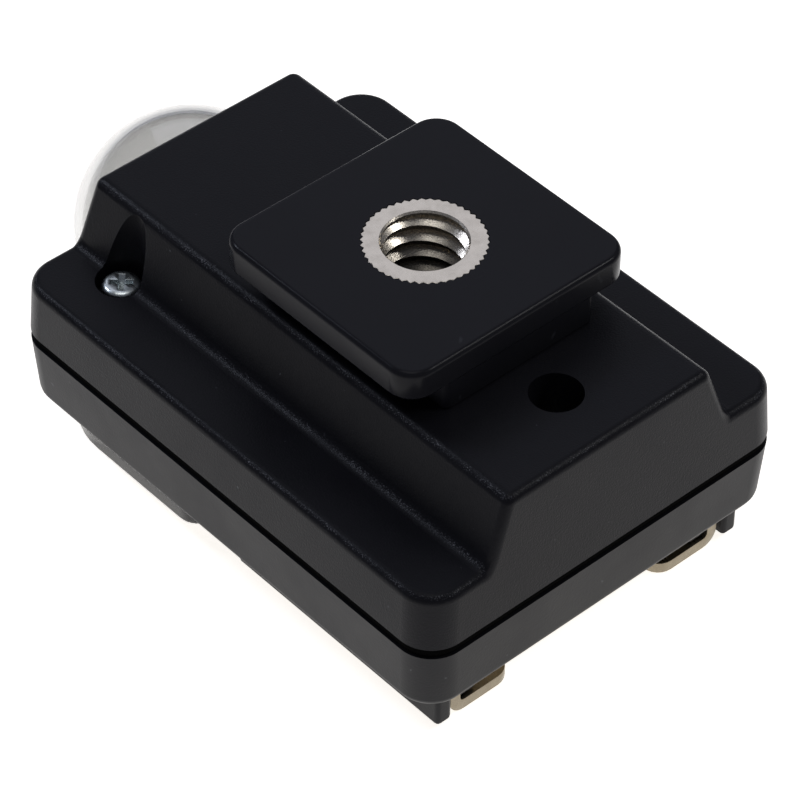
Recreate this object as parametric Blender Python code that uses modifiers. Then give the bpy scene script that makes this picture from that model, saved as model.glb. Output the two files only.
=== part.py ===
"""Shoe-mount light sensor unit, modelled as the pieces that it comes apart into.

The unit lies on its front, so the mounting foot points up (+Z) and the accessory shoe points
down.  +X runs along the body towards the end where the shoe opens, and the clear sensor dome
is at the -X end.  The origin is at the centre of the bottom of the whole unit's box.
All sizes are in metres.
"""

import math

import bmesh
import bpy
from mathutils import Matrix, Vector

MM = 0.001

# ---------------------------------------------------------------- driving dimensions
BODY_LENGTH = 40.4 * MM            # along X, at the joint between the two shells
BODY_WIDTH = 30.5 * MM             # along Y, at the same joint
CORNER_RADIUS = 2.5 * MM           # plan corners of both shells
DRAFT = 0.055                      # inward lean of the shells' outer walls, metres per metre
WALL = 1.4 * MM

SHOE_DROP = 3.4 * MM               # how far the shoe's lips stand below the front face
FRONT_HEIGHT = 4.85 * MM           # front housing, front face to its rim
SEAM_GAP = 0.75 * MM               # band between the shells that the gasket fills
LEDGE_HEIGHT = 4.15 * MM           # rear cover, rim to ledge
BLOCK_HEIGHT = 4.8 * MM            # ledge to the top of the raised block
BLOCK_BASE_WIDTH = 20.4 * MM
BLOCK_TOP_WIDTH = 16.9 * MM
COVER_EDGE = 0.55 * MM             # fillet along the rear cover's edges
FRONT_EDGE = 0.7 * MM              # fillet round the front face
FLOOR = 2.0 * MM                   # thickness of the front face

CLEARANCE = 0.12 * MM              # between pieces that touch when assembled
RUNNING_CLEARANCE = 0.08 * MM      # radial, round the sliding contact

GASKET_RECESS = 0.15 * MM          # its outer face inside the shells' rims
GASKET_DEPTH = 1.1 * MM

FOOT_X = 2.75 * MM                 # centre of the mounting foot
FOOT_LENGTH = 18.0 * MM            # along X
FOOT_WIDTH = 18.6 * MM             # along Y, across the shoe that it slides into
FOOT_THICKNESS = 2.1 * MM
FOOT_CORNER = 1.9 * MM
FOOT_EDGE = 0.35 * MM
NECK_WIDTH = 12.4 * MM
NECK_SETBACK = 0.15 * MM           # neck's ends inside the plate's ends
NECK_HEIGHT = 2.3 * MM

INSERT_RADIUS = 4.05 * MM
INSERT_BORE_RADIUS = 2.8 * MM
INSERT_LENGTH = 7.2 * MM
FOOT_SCREW_OFFSET = 6.4 * MM       # from the foot's centre, along X
FOOT_SCREW_COVER = 1.2 * MM        # plate left over the end of each foot screw

SCREW_HEAD_RADIUS = 1.32 * MM
SCREW_HEAD_HEIGHT = 0.95 * MM
SCREW_SHANK_RADIUS = 0.9 * MM
SCREW_LENGTH = 6.0 * MM
SCREW_ACCESS_RADIUS = 1.62 * MM    # scallop and counterbore over each of the two side screws
END_ACCESS_RADIUS = 1.75 * MM      # deep hole over the end screw
SCREW_RECESS = 0.35 * MM           # head's top below the ledge
SCREW_SIDE_INSET = 5.15 * MM       # side screws, in from the dome end
SCREW_EDGE_INSET = 5.0 * MM        # side screws, in from the long sides
SCREW_END_INSET = 5.4 * MM         # end screw, in from the shoe end
BOSS_RADIUS = 2.8 * MM
PILOT_RADIUS = 1.05 * MM           # clear of the thread's crests

SHEET = 0.85 * MM                  # metal of the shoe frame
SHOE_OUTER_WIDTH = 23.3 * MM
SHOE_SLOT_WIDTH = 12.6 * MM
SHOE_SETBACK = 1.8 * MM            # shoe's mouth, in from the end of the body
SHOE_LENGTH = 18.8 * MM
SHOE_BASE_PROUD = 0.25 * MM        # base plate's face below the front face
SHOE_BEND = 1.0 * MM
SHOE_LIP_CORNER = 1.3 * MM
FOOT_CHANNEL_WIDTH = 18.8 * MM     # clear width between the liner's rails
LINER_STOP = 1.4 * MM              # bar that ends the foot's travel

GUARD_THICKNESS = 1.25 * MM        # plastic walls outside the shoe's metal
GUARD_DROP = 3.0 * MM
GUARD_REACH = 0.4 * MM             # past the shoe's mouth
GUARD_EDGE = 0.35 * MM
GUARD_GAP = 0.2 * MM

CONTACT_RADIUS = 1.5 * MM
CONTACT_PROUD = 0.7 * MM           # tip below the insulator's face
CONTACT_TRAVEL = 0.6 * MM
CONTACT_SHOULDER_RADIUS = 1.95 * MM
CONTACT_SHOULDER_HEIGHT = 0.6 * MM
INSULATOR_RADIUS = 3.1 * MM
INSULATOR_NECK_RADIUS = 2.65 * MM
INSULATOR_STEP = 1.3 * MM          # thickness of the face that holds the contact in
INSULATOR_LENGTH = 4.4 * MM
SPRING_WIRE_RADIUS = 0.13 * MM
SPRING_RADIUS = 1.5 * MM
SPRING_TURNS = 3.5
TERMINAL_THICKNESS = 0.3 * MM
TERMINAL_RADIUS = 2.6 * MM

SHOE_SCREW_SPACING_X = 10.0 * MM
SHOE_SCREW_SPACING_Y = 9.2 * MM
SHOE_SCREW_HEAD_RADIUS = 1.3 * MM
SHOE_SCREW_SHANK_RADIUS = 0.65 * MM
SHOE_SCREW_LENGTH = 2.3 * MM

LEAF_LENGTH = 13.0 * MM
LEAF_WIDTH = 1.8 * MM
LEAF_THICKNESS = 0.2 * MM
LEAF_BOW = 0.35 * MM
LEAF_Y = 7.9 * MM

DOME_RADIUS = 8.05 * MM
DOME_WALL = 0.6 * MM
DOME_GAP = 0.22 * MM               # its cut face to the end of the body
DOME_RISE = 5.2 * MM               # dome's centre above the front face
WINDOW_THICKNESS = 1.6 * MM
WINDOW_INSET = 0.9 * MM            # window's sides inside the front face's sides
WINDOW_TO_SHOE = 2.7 * MM          # window's edge to the back of the shoe
WINDOW_END_CORNER = 4.2 * MM       # at the dome end
WINDOW_CORNER = 1.6 * MM
WINDOW_EDGE = 0.35 * MM
PEG_RADIUS = 0.9 * MM
PEG_HEIGHT = 1.6 * MM
PEG_INSET_X = 5.9 * MM             # pegs, in from the window's edge nearest the shoe
PEG_INSET_Y = 6.25 * MM            # pegs, in from the long sides

SENSOR_RISE = 8.3 * MM             # sensor's axis above the front face
SENSOR_RADIUS = 1.5 * MM
SENSOR_COLLAR_RADIUS = 1.95 * MM
SENSOR_COLLAR = 0.9 * MM
SENSOR_REACH = 1.9 * MM            # tip beyond the end wall
SENSOR_TAIL = 0.8 * MM
LEAD_RADIUS = 0.22 * MM
LEAD_SPACING = 1.27 * MM

LAMP_INSET_X = 2.1 * MM            # lamp, in from the window's edge nearest the shoe
LAMP_INSET_Y = 3.75 * MM           # lamp, in from the long side
LAMP_RADIUS = 1.5 * MM
LAMP_HEIGHT = 4.0 * MM

BOARD_MARGIN_X = 0.7 * MM          # board's ends to the bosses next to them
BOARD_MARGIN_Y = 1.65 * MM         # board's sides to the walls
BOARD_THICKNESS = 1.0 * MM
BOARD_CORNER = 1.0 * MM
BOARD_RISE = 5.5 * MM              # board's underside above the front face
WIRE_ROOM = 1.1 * MM               # past the board's end, for the two wires
WIRE_RADIUS = 0.32 * MM
LEAD_PAD_INSET = 1.6 * MM          # sensor leads' pads, in from the board's dome end
WIRE_PAD_INSET = 1.6 * MM          # wires' pads, in from the board's shoe end

CAPACITOR_RADIUS = 2.5 * MM
CAPACITOR_HEIGHT = 6.0 * MM
CAPACITOR_EDGE = 0.3 * MM
CAPACITOR_GROOVE = 0.15 * MM       # depth of the crimp near its base
CAPACITOR_TO_SCREW = 2.55 * MM     # along X, from the foot screw next to it
CAPACITOR_Y = -3.2 * MM

THYRISTOR_RADIUS = 2.3 * MM
THYRISTOR_FLAT = 1.3 * MM          # flat side, out from the axis
THYRISTOR_HEIGHT = 4.4 * MM
THYRISTOR_STAND = 1.2 * MM         # body above the board
THYRISTOR_INSET = 5.8 * MM         # in from the board's dome end
THYRISTOR_Y = 4.6 * MM
LEG_HALF = 0.2 * MM
LEG_SHIFT = 0.4 * MM               # legs behind the body's axis

RESISTOR_BODY_RADIUS = 0.85 * MM
RESISTOR_END_RADIUS = 1.0 * MM
RESISTOR_END_LENGTH = 0.9 * MM
RESISTOR_LEAD_RADIUS = 0.25 * MM
RESISTOR_LENGTH = 4.2 * MM
RESISTOR_REACH = 6.6 * MM          # over both leads
RESISTOR_INSETS = ((8.4 * MM, -7.8 * MM), (8.4 * MM, -5.2 * MM), (3.9 * MM, 2.6 * MM))

FILM_LENGTH = 6.8 * MM
FILM_WIDTH = 2.8 * MM
FILM_HEIGHT = 3.6 * MM
FILM_EDGE = 0.4 * MM
FILM_INSET = 8.6 * MM              # in from the board's shoe end
FILM_Y = 6.6 * MM

SEGMENTS = 24                      # sides of a round piece
SMALL_SEGMENTS = 16                # sides of a small round piece
FINE_SEGMENTS = 48                 # sides of a large round piece

# ---------------------------------------------------------------- levels along Z
FRONT_Z = max(SHOE_DROP, DOME_RADIUS - DOME_RISE)
LIP_Z = FRONT_Z - SHOE_DROP
FRONT_RIM_Z = FRONT_Z + FRONT_HEIGHT
COVER_RIM_Z = FRONT_RIM_Z + SEAM_GAP
LEDGE_Z = COVER_RIM_Z + LEDGE_HEIGHT
BLOCK_Z = LEDGE_Z + BLOCK_HEIGHT
PLATE_Z = BLOCK_Z + NECK_HEIGHT
FOOT_Z = PLATE_Z + FOOT_THICKNESS
FLOOR_Z = FRONT_Z + FLOOR
BASE_FACE_Z = FRONT_Z - SHOE_BASE_PROUD
SCREW_TOP_Z = LEDGE_Z - SCREW_RECESS
SCREW_SEAT_Z = SCREW_TOP_Z - SCREW_HEAD_HEIGHT
BOARD_Z = FRONT_Z + BOARD_RISE
BOARD_TOP_Z = BOARD_Z + BOARD_THICKNESS
DOME_Z = FRONT_Z + DOME_RISE
SENSOR_Z = FRONT_Z + SENSOR_RISE

# ---------------------------------------------------------------- places along X and Y
DOME_X = -BODY_LENGTH / 2 - DOME_GAP
CENTRE_X = (DOME_X - DOME_RADIUS + BODY_LENGTH / 2) / 2
SHOE_FRONT_X = BODY_LENGTH / 2 - SHOE_SETBACK
SHOE_BACK_X = SHOE_FRONT_X - SHOE_LENGTH
SHOE_CENTRE_X = (SHOE_BACK_X + SHOE_FRONT_X) / 2
WINDOW_INNER_X = SHOE_BACK_X - WINDOW_TO_SHOE
PEG_X = WINDOW_INNER_X - PEG_INSET_X
PEG_Y = BODY_WIDTH / 2 - PEG_INSET_Y
LAMP_X = WINDOW_INNER_X - LAMP_INSET_X
LAMP_Y = LAMP_INSET_Y - BODY_WIDTH / 2
SCREW_SIDE_X = SCREW_SIDE_INSET - BODY_LENGTH / 2
SCREW_SIDE_Y = BODY_WIDTH / 2 - SCREW_EDGE_INSET
SCREW_END_X = BODY_LENGTH / 2 - SCREW_END_INSET
BOARD_LOW_X = SCREW_SIDE_X + BOSS_RADIUS + BOARD_MARGIN_X
BOARD_HIGH_X = SCREW_END_X - BOSS_RADIUS - WIRE_ROOM - BOARD_MARGIN_X
CAPACITOR_X = FOOT_X - FOOT_SCREW_OFFSET - CAPACITOR_TO_SCREW
THYRISTOR_X = BOARD_LOW_X + THYRISTOR_INSET
BOARD_HALF_WIDTH = BODY_WIDTH / 2 - WALL - BOARD_MARGIN_Y
SHOE_SCREW_PLACES = [
    (SHOE_CENTRE_X + along * SHOE_SCREW_SPACING_X / 2, across * SHOE_SCREW_SPACING_Y / 2)
    for along in (-1, 1) for across in (-1, 1)
]
SCREW_PLACES = (
    ("case_screw_left", SCREW_SIDE_X, -SCREW_SIDE_Y),
    ("case_screw_right", SCREW_SIDE_X, SCREW_SIDE_Y),
    ("case_screw_end", SCREW_END_X, 0.0),
)


# ================================================================ helpers
def clear_scene():
    """Remove what the scene holds, and the data left behind."""
    for item in list(bpy.data.objects):
        bpy.data.objects.remove(item, do_unlink=True)
    for store in (bpy.data.meshes, bpy.data.curves, bpy.data.materials, bpy.data.collections):
        for block in list(store):
            store.remove(block)


def new_collection(name):
    collection = bpy.data.collections.new(name)
    bpy.context.scene.collection.children.link(collection)
    return collection


def new_material(name, colour, roughness, metallic=0.0, alpha=1.0):
    material = bpy.data.materials.new(name)
    material.use_nodes = True
    shader = material.node_tree.nodes["Principled BSDF"]
    shader.inputs["Base Color"].default_value = (*colour, 1.0)
    shader.inputs["Roughness"].default_value = roughness
    shader.inputs["Metallic"].default_value = metallic
    shader.inputs["Alpha"].default_value = alpha
    material.diffuse_color = (*colour, alpha)
    return material


class Workshop:
    """Holds the two collections and the empty that every piece hangs from."""

    def __init__(self, name):
        self.pieces = new_collection(name)
        self.cutters = new_collection(name + "_cutters")
        self.origin = bpy.data.objects.new(name + "_origin", None)
        self.origin.location = (-CENTRE_X, 0.0, 0.0)
        self.pieces.objects.link(self.origin)

    def add(self, name, data, place=(0.0, 0.0, 0.0), material=None, cutter=False):
        """Put a mesh or curve into the scene as a piece, or as a cutter."""
        item = bpy.data.objects.new(name, data)
        item.location = place
        item.parent = self.origin
        (self.cutters if cutter else self.pieces).objects.link(item)
        if cutter:
            item.hide_render = True
            item.display_type = "WIRE"
        if material is not None:
            data.materials.clear()
            data.materials.append(material)
        return item


def to_mesh(bm, name, sharp=35.0):
    """Write a bmesh to a new mesh, smooth but for edges sharper than the angle."""
    bmesh.ops.recalc_face_normals(bm, faces=bm.faces)
    mesh = bpy.data.meshes.new(name)
    bm.to_mesh(mesh)
    bm.free()
    mesh.shade_smooth()
    mesh.set_sharp_from_angle(angle=math.radians(sharp))
    return mesh


def baked(item):
    """Mesh of an object as its modifiers leave it, in the object's own space."""
    bpy.context.view_layer.update()
    graph = bpy.context.evaluated_depsgraph_get()
    return bpy.data.meshes.new_from_object(item.evaluated_get(graph), depsgraph=graph)


def combine(item, other, operation):
    """Give an object a live Boolean with another one, and hide the other as a cutter."""
    step = item.modifiers.new(operation.lower() + "_" + other.name, "BOOLEAN")
    step.operation = operation
    step.solver = "EXACT"
    step.object = other


def edges_where(bm, test):
    """Edges whose two corners both pass the test."""
    return [edge for edge in bm.edges if all(test(vert.co) for vert in edge.verts)]


def bevel(bm, edges, width, segments):
    bmesh.ops.bevel(bm, geom=edges, offset=width, offset_type="OFFSET", segments=segments,
                    profile=0.5, affect="EDGES", clamp_overlap=True, material=-1)


def box_bmesh(low, high):
    """Box between two corners."""
    bm = bmesh.new()
    bmesh.ops.create_cube(bm, size=1.0)
    low, high = Vector(low), Vector(high)
    size = high - low
    bmesh.ops.scale(bm, vec=size, verts=bm.verts)
    bmesh.ops.translate(bm, vec=(low + high) / 2, verts=bm.verts)
    return bm


def is_upright(edge, tolerance=1e-3):
    """True for an edge that stands up, straight or leaning with the draft."""
    span = edge.verts[1].co - edge.verts[0].co
    return abs(span.z) > (0.8 - tolerance) * span.length


def round_corners(bm, radius, segments=6):
    """Round a box's four upright edges."""
    bevel(bm, [edge for edge in bm.edges if is_upright(edge)], radius, segments)


def cylinder_bmesh(radius, low_z, high_z, segments=SEGMENTS):
    bm = bmesh.new()
    bmesh.ops.create_cone(bm, cap_ends=True, segments=segments, radius1=radius, radius2=radius,
                          depth=high_z - low_z)
    bmesh.ops.translate(bm, vec=(0.0, 0.0, (low_z + high_z) / 2), verts=bm.verts)
    return bm


def cutter_cylinder(shop, name, radius, low_z, high_z, x=0.0, y=0.0):
    mesh = to_mesh(cylinder_bmesh(radius, low_z, high_z), name)
    return shop.add(name, mesh, (x, y, 0.0), cutter=True)


def turned(shop, name, profile, place, material, segments=SEGMENTS, cutter=False):
    """Turn a profile of (radius, height) points, listed from the top down the outer side.

    Its first and last points lie on the axis, or it is a ring whose profile closes on itself.
    """
    closed = profile[0][0] > 0.0 or profile[-1][0] > 0.0
    bm = bmesh.new()
    verts = [bm.verts.new((radius, 0.0, height)) for radius, height in profile]
    for first, second in zip(verts, verts[1:]):
        bm.edges.new((first, second))
    if closed:
        bm.edges.new((verts[-1], verts[0]))
    mesh = bpy.data.meshes.new(name)
    bm.to_mesh(mesh)
    bm.free()
    item = shop.add(name, mesh, place, material, cutter)
    screw = item.modifiers.new("turn", "SCREW")
    screw.axis = "Z"
    screw.angle = math.tau
    screw.steps = segments
    screw.render_steps = segments
    screw.use_merge_vertices = True
    screw.merge_threshold = 0.00001
    screw.use_smooth_shade = True
    return item


def arc(radius, start, end, steps, centre=(0.0, 0.0)):
    """Points (radius, height) along an arc in a turned profile; angles from the +radius side."""
    angles = [math.radians(start + (end - start) * i / steps) for i in range(steps + 1)]
    return [(centre[0] + radius * math.cos(a), centre[1] + radius * math.sin(a)) for a in angles]


def wire(shop, name, points, radius, material, place=(0.0, 0.0, 0.0)):
    """Round wire along a list of points."""
    curve = bpy.data.curves.new(name, "CURVE")
    curve.dimensions = "3D"
    curve.bevel_depth = radius
    curve.bevel_resolution = 1
    curve.use_fill_caps = True
    spline = curve.splines.new("POLY")
    spline.points.add(len(points) - 1)
    for point, target in zip(spline.points, points):
        point.co = (*target, 1.0)
    return shop.add(name, curve, place, material)


def smooth_route(corners, steps=4):
    """Catmull-Rom curve through a few corners."""
    ends = [2 * Vector(corners[0]) - Vector(corners[1])]
    tail = [2 * Vector(corners[-1]) - Vector(corners[-2])]
    knots = ends + [Vector(c) for c in corners] + tail
    route = []
    for i in range(1, len(knots) - 2):
        before, start, end, after = knots[i - 1:i + 3]
        for step in range(steps):
            t = step / steps
            route.append(0.5 * (2 * start + (end - before) * t
                                + (2 * before - 5 * start + 4 * end - after) * t ** 2
                                + (3 * start - before - 3 * end + after) * t ** 3))
    route.append(knots[-2])
    return route


# ================================================================ casing
def shell_bmesh(length, width, radius, low_z, high_z, rim_z):
    """Rounded block whose walls lean inwards with distance from the rim."""
    bm = box_bmesh((-length / 2, -width / 2, low_z), (length / 2, width / 2, high_z))
    for vert in bm.verts:
        lean = DRAFT * abs(vert.co.z - rim_z)
        vert.co.x -= math.copysign(lean, vert.co.x)
        vert.co.y -= math.copysign(lean, vert.co.y)
    round_corners(bm, radius)
    return bm


def cover_bmesh(inset, low_z, edge):
    """Rear cover's form: ledge and raised block, flush with each other at both ends."""
    length = BODY_LENGTH - 2 * inset
    width = BODY_WIDTH - 2 * inset
    ledge_z = LEDGE_Z - inset
    block_z = BLOCK_Z - inset
    half_base = BLOCK_BASE_WIDTH / 2 - inset
    half_top = BLOCK_TOP_WIDTH / 2 - inset
    bm = shell_bmesh(length, width, CORNER_RADIUS - inset, low_z, ledge_z, COVER_RIM_Z)
    for side in (-1, 1):
        bmesh.ops.bisect_plane(bm, geom=bm.verts[:] + bm.edges[:] + bm.faces[:],
                               plane_co=(0.0, side * half_base, 0.0), plane_no=(0.0, 1.0, 0.0))
    middle = [face for face in bm.faces
              if face.normal.z > 0.9 and abs(face.calc_center_median().y) < half_base / 2]
    raised = bmesh.ops.extrude_face_region(bm, geom=middle)["geom"]
    bmesh.ops.delete(bm, geom=middle, context="FACES")
    for vert in raised:
        if isinstance(vert, bmesh.types.BMVert):
            vert.co.x -= math.copysign(DRAFT * (block_z - ledge_z), vert.co.x)
            vert.co.y = math.copysign(half_top, vert.co.y)
            vert.co.z = block_z
    bmesh.ops.dissolve_limit(bm, angle_limit=math.radians(0.5), verts=bm.verts, edges=bm.edges)
    if edge > 0.0:
        bevel(bm, edges_where(bm, lambda co: co.z > ledge_z - edge / 4), edge, 2)
    return bm


def add_access(shop, cover, name, radius, x, y):
    """Way down to a case screw: the driver's hole, and the hole for the screw's shank."""
    driver = cutter_cylinder(shop, name + "_driver_hole", radius, SCREW_SEAT_Z - CLEARANCE,
                             BLOCK_Z + WALL, x, y)
    shank = cutter_cylinder(shop, name + "_shank_hole", SCREW_SHANK_RADIUS + CLEARANCE,
                            COVER_RIM_Z - WALL, SCREW_SEAT_Z, x, y)
    combine(cover, driver, "DIFFERENCE")
    combine(cover, shank, "DIFFERENCE")


def make_rear_cover(shop, material):
    cover = shop.add("rear_cover", to_mesh(cover_bmesh(0.0, COVER_RIM_Z, COVER_EDGE), "rear_cover"),
                     material=material)
    hollow_mesh = to_mesh(cover_bmesh(WALL, COVER_RIM_Z - WALL, 0.0), "cover_hollow")
    hollow = shop.add("cover_hollow", hollow_mesh, cutter=True)
    for name, x, y in SCREW_PLACES:
        boss = cutter_cylinder(shop, name + "_cover_boss", BOSS_RADIUS, COVER_RIM_Z,
                               BLOCK_Z + WALL, x, y)
        combine(hollow, boss, "DIFFERENCE")
    combine(cover, hollow, "DIFFERENCE")
    for name, x, y in SCREW_PLACES:
        radius = SCREW_ACCESS_RADIUS if y else END_ACCESS_RADIUS
        add_access(shop, cover, name, radius, x, y)
    insert_hole = cutter_cylinder(shop, "insert_hole", INSERT_RADIUS + CLEARANCE,
                                  BLOCK_Z - 2 * WALL, BLOCK_Z + WALL, FOOT_X)
    combine(cover, insert_hole, "DIFFERENCE")
    for side in (-1, 1):
        hole = cutter_cylinder(shop, "foot_screw_hole", SCREW_SHANK_RADIUS + CLEARANCE,
                               BLOCK_Z - 2 * WALL, BLOCK_Z + WALL,
                               FOOT_X + side * FOOT_SCREW_OFFSET)
        combine(cover, hole, "DIFFERENCE")
    sensor_hole = cutter_cylinder(shop, "sensor_hole", SENSOR_RADIUS + CLEARANCE,
                                  -2 * WALL, 2 * WALL)
    sensor_hole.rotation_euler = (0.0, math.pi / 2, 0.0)
    sensor_hole.location = (-BODY_LENGTH / 2, 0.0, SENSOR_Z)
    combine(cover, sensor_hole, "DIFFERENCE")
    return cover


def guard_bmesh(side):
    """One of the plastic walls that stand outside the shoe's metal."""
    inner = SHOE_OUTER_WIDTH / 2 + GUARD_GAP
    low_y, high_y = sorted((side * inner, side * (inner + GUARD_THICKNESS)))
    bm = box_bmesh((SHOE_BACK_X, low_y, FRONT_Z - GUARD_DROP),
                   (SHOE_FRONT_X + GUARD_REACH, high_y, FRONT_Z + FLOOR / 2))
    low = FRONT_Z - GUARD_DROP
    bevel(bm, [edge for edge in bm.edges if is_upright(edge)]
          + edges_where(bm, lambda co: co.z < low + MM / 10), GUARD_EDGE, 2)
    return bm


def make_front_housing(shop, material):
    bm = shell_bmesh(BODY_LENGTH, BODY_WIDTH, CORNER_RADIUS, FRONT_Z, FRONT_RIM_Z, FRONT_RIM_Z)
    bevel(bm, edges_where(bm, lambda co: co.z < FRONT_Z + MM / 10), FRONT_EDGE, 2)
    housing = shop.add("front_housing", to_mesh(bm, "front_housing"), material=material)
    bm = shell_bmesh(BODY_LENGTH - 2 * WALL, BODY_WIDTH - 2 * WALL, CORNER_RADIUS - WALL, FLOOR_Z,
                     FRONT_RIM_Z + WALL, FRONT_RIM_Z)
    hollow = shop.add("housing_hollow", to_mesh(bm, "housing_hollow"), cutter=True)
    for name, x, y in SCREW_PLACES:
        boss = cutter_cylinder(shop, name + "_housing_boss", BOSS_RADIUS, FRONT_Z,
                               FRONT_RIM_Z, x, y)
        combine(hollow, boss, "DIFFERENCE")
    combine(housing, hollow, "DIFFERENCE")
    for side, word in ((-1, "left"), (1, "right")):
        guard = shop.add("guard_" + word, to_mesh(guard_bmesh(side), "guard_" + word), cutter=True)
        combine(housing, guard, "UNION")
    for name, x, y in SCREW_PLACES:
        pilot = cutter_cylinder(shop, name + "_pilot", PILOT_RADIUS,
                                SCREW_SEAT_Z - SCREW_LENGTH - CLEARANCE, COVER_RIM_Z, x, y)
        combine(housing, pilot, "DIFFERENCE")
    half = SHOE_OUTER_WIDTH / 2 + CLEARANCE
    pocket = box_bmesh((SHOE_BACK_X - CLEARANCE, -half, FRONT_Z - MM),
                       (SHOE_FRONT_X + CLEARANCE, half, BASE_FACE_Z + SHEET + CLEARANCE))
    pocket = shop.add("shoe_pocket", to_mesh(pocket, "shoe_pocket"), cutter=True)
    combine(housing, pocket, "DIFFERENCE")
    hole = cutter_cylinder(shop, "insulator_hole", INSULATOR_NECK_RADIUS + CLEARANCE,
                           FRONT_Z - MM, FLOOR_Z + MM, SHOE_CENTRE_X)
    combine(housing, hole, "DIFFERENCE")
    for x, y in SHOE_SCREW_PLACES:
        pilot = cutter_cylinder(shop, "shoe_screw_pilot", SHOE_SCREW_SHANK_RADIUS + CLEARANCE,
                                FRONT_Z - MM, FLOOR_Z + MM, x, y)
        combine(housing, pilot, "DIFFERENCE")
    for y in (-PEG_Y, PEG_Y):
        hole = cutter_cylinder(shop, "peg_hole", PEG_RADIUS + CLEARANCE, FRONT_Z - MM,
                               FLOOR_Z + MM, PEG_X, y)
        combine(housing, hole, "DIFFERENCE")
    hole = cutter_cylinder(shop, "lamp_hole", LAMP_RADIUS + CLEARANCE, FRONT_Z - MM,
                           FLOOR_Z + MM, LAMP_X, LAMP_Y)
    combine(housing, hole, "DIFFERENCE")
    return housing


def make_gasket(shop, material):
    """Black band that shows between the two shells."""
    low, high = FRONT_RIM_Z + CLEARANCE / 2, COVER_RIM_Z - CLEARANCE / 2
    recess = GASKET_RECESS
    outer = box_bmesh((-BODY_LENGTH / 2 + recess, -BODY_WIDTH / 2 + recess, low),
                      (BODY_LENGTH / 2 - recess, BODY_WIDTH / 2 - recess, high))
    round_corners(outer, CORNER_RADIUS - recess)
    gasket = shop.add("seam_gasket", to_mesh(outer, "seam_gasket"), material=material)
    inset = GASKET_DEPTH + recess
    inner = box_bmesh((-BODY_LENGTH / 2 + inset, -BODY_WIDTH / 2 + inset, low - MM),
                      (BODY_LENGTH / 2 - inset, BODY_WIDTH / 2 - inset, high + MM))
    round_corners(inner, CORNER_RADIUS - inset)
    inner = shop.add("gasket_inside", to_mesh(inner, "gasket_inside"), cutter=True)
    combine(gasket, inner, "DIFFERENCE")
    return gasket


# ================================================================ fasteners
def screw_mesh(shop, name, length):
    """Pan-head screw with a cross recess, its seat at height 0 and its shank below."""
    top = SCREW_HEAD_HEIGHT
    crown = SCREW_HEAD_HEIGHT * 0.35
    profile = [(0.0, top), (SCREW_HEAD_RADIUS * 0.55, top), (SCREW_HEAD_RADIUS * 0.88, top - crown / 2),
               (SCREW_HEAD_RADIUS, top - crown), (SCREW_HEAD_RADIUS, 0.0),
               (SCREW_SHANK_RADIUS, 0.0), (SCREW_SHANK_RADIUS, -length + SCREW_SHANK_RADIUS),
               (0.0, -length)]
    blank = turned(shop, name + "_blank", profile, (0.0, 0.0, 0.0), None, SMALL_SEGMENTS, cutter=True)
    arm, blade, depth = SCREW_HEAD_RADIUS * 0.58, 0.16 * MM, SCREW_HEAD_HEIGHT * 0.6
    for turn, word in ((0.0, "a"), (math.pi / 2, "b")):
        slot = to_mesh(box_bmesh((-arm, -blade, top - depth), (arm, blade, top + MM)), name + word)
        cutter = shop.add(name + "_slot_" + word, slot, cutter=True)
        cutter.rotation_euler = (0.0, 0.0, turn + math.radians(20.0))
        combine(blank, cutter, "DIFFERENCE")
    return baked(blank)


def make_case_screws(shop, material):
    mesh = screw_mesh(shop, "case_screw", SCREW_LENGTH)
    for name, x, y in SCREW_PLACES:
        shop.add(name, mesh, (x, y, SCREW_SEAT_Z), material)


def make_foot_screws(shop, material):
    """Two screws that pull the foot down onto the block from inside the cover."""
    seat = BLOCK_Z - WALL - CLEARANCE
    mesh = screw_mesh(shop, "foot_screw", FOOT_Z - FOOT_SCREW_COVER - seat)
    for side, word in ((-1, "rear"), (1, "front")):
        item = shop.add("foot_screw_" + word, mesh,
                        (FOOT_X + side * FOOT_SCREW_OFFSET, 0.0, seat), material)
        item.rotation_euler = (math.pi, 0.0, 0.0)


# ================================================================ mounting foot
def make_mount_foot(shop, material):
    plate = box_bmesh((-FOOT_LENGTH / 2, -FOOT_WIDTH / 2, PLATE_Z),
                      (FOOT_LENGTH / 2, FOOT_WIDTH / 2, FOOT_Z))
    round_corners(plate, FOOT_CORNER, 5)
    bevel(plate, edges_where(plate, lambda co: co.z > FOOT_Z - MM / 10), FOOT_EDGE, 2)
    foot = shop.add("mount_foot", to_mesh(plate, "mount_foot"), (FOOT_X, 0.0, 0.0), material)
    half = FOOT_LENGTH / 2 - NECK_SETBACK
    neck = box_bmesh((-half, -NECK_WIDTH / 2, BLOCK_Z + CLEARANCE),
                     (half, NECK_WIDTH / 2, PLATE_Z + FOOT_THICKNESS / 2))
    neck = shop.add("foot_neck", to_mesh(neck, "foot_neck"), (FOOT_X, 0.0, 0.0), cutter=True)
    combine(foot, neck, "UNION")
    bore = cutter_cylinder(shop, "insert_seat", INSERT_RADIUS + CLEARANCE, BLOCK_Z - MM,
                           FOOT_Z + MM, FOOT_X)
    combine(foot, bore, "DIFFERENCE")
    for side in (-1, 1):
        pilot = cutter_cylinder(shop, "foot_pilot", PILOT_RADIUS, BLOCK_Z - MM,
                                FOOT_Z - FOOT_SCREW_COVER + CLEARANCE, FOOT_X + side * FOOT_SCREW_OFFSET)
        combine(foot, pilot, "DIFFERENCE")
    return foot


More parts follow.
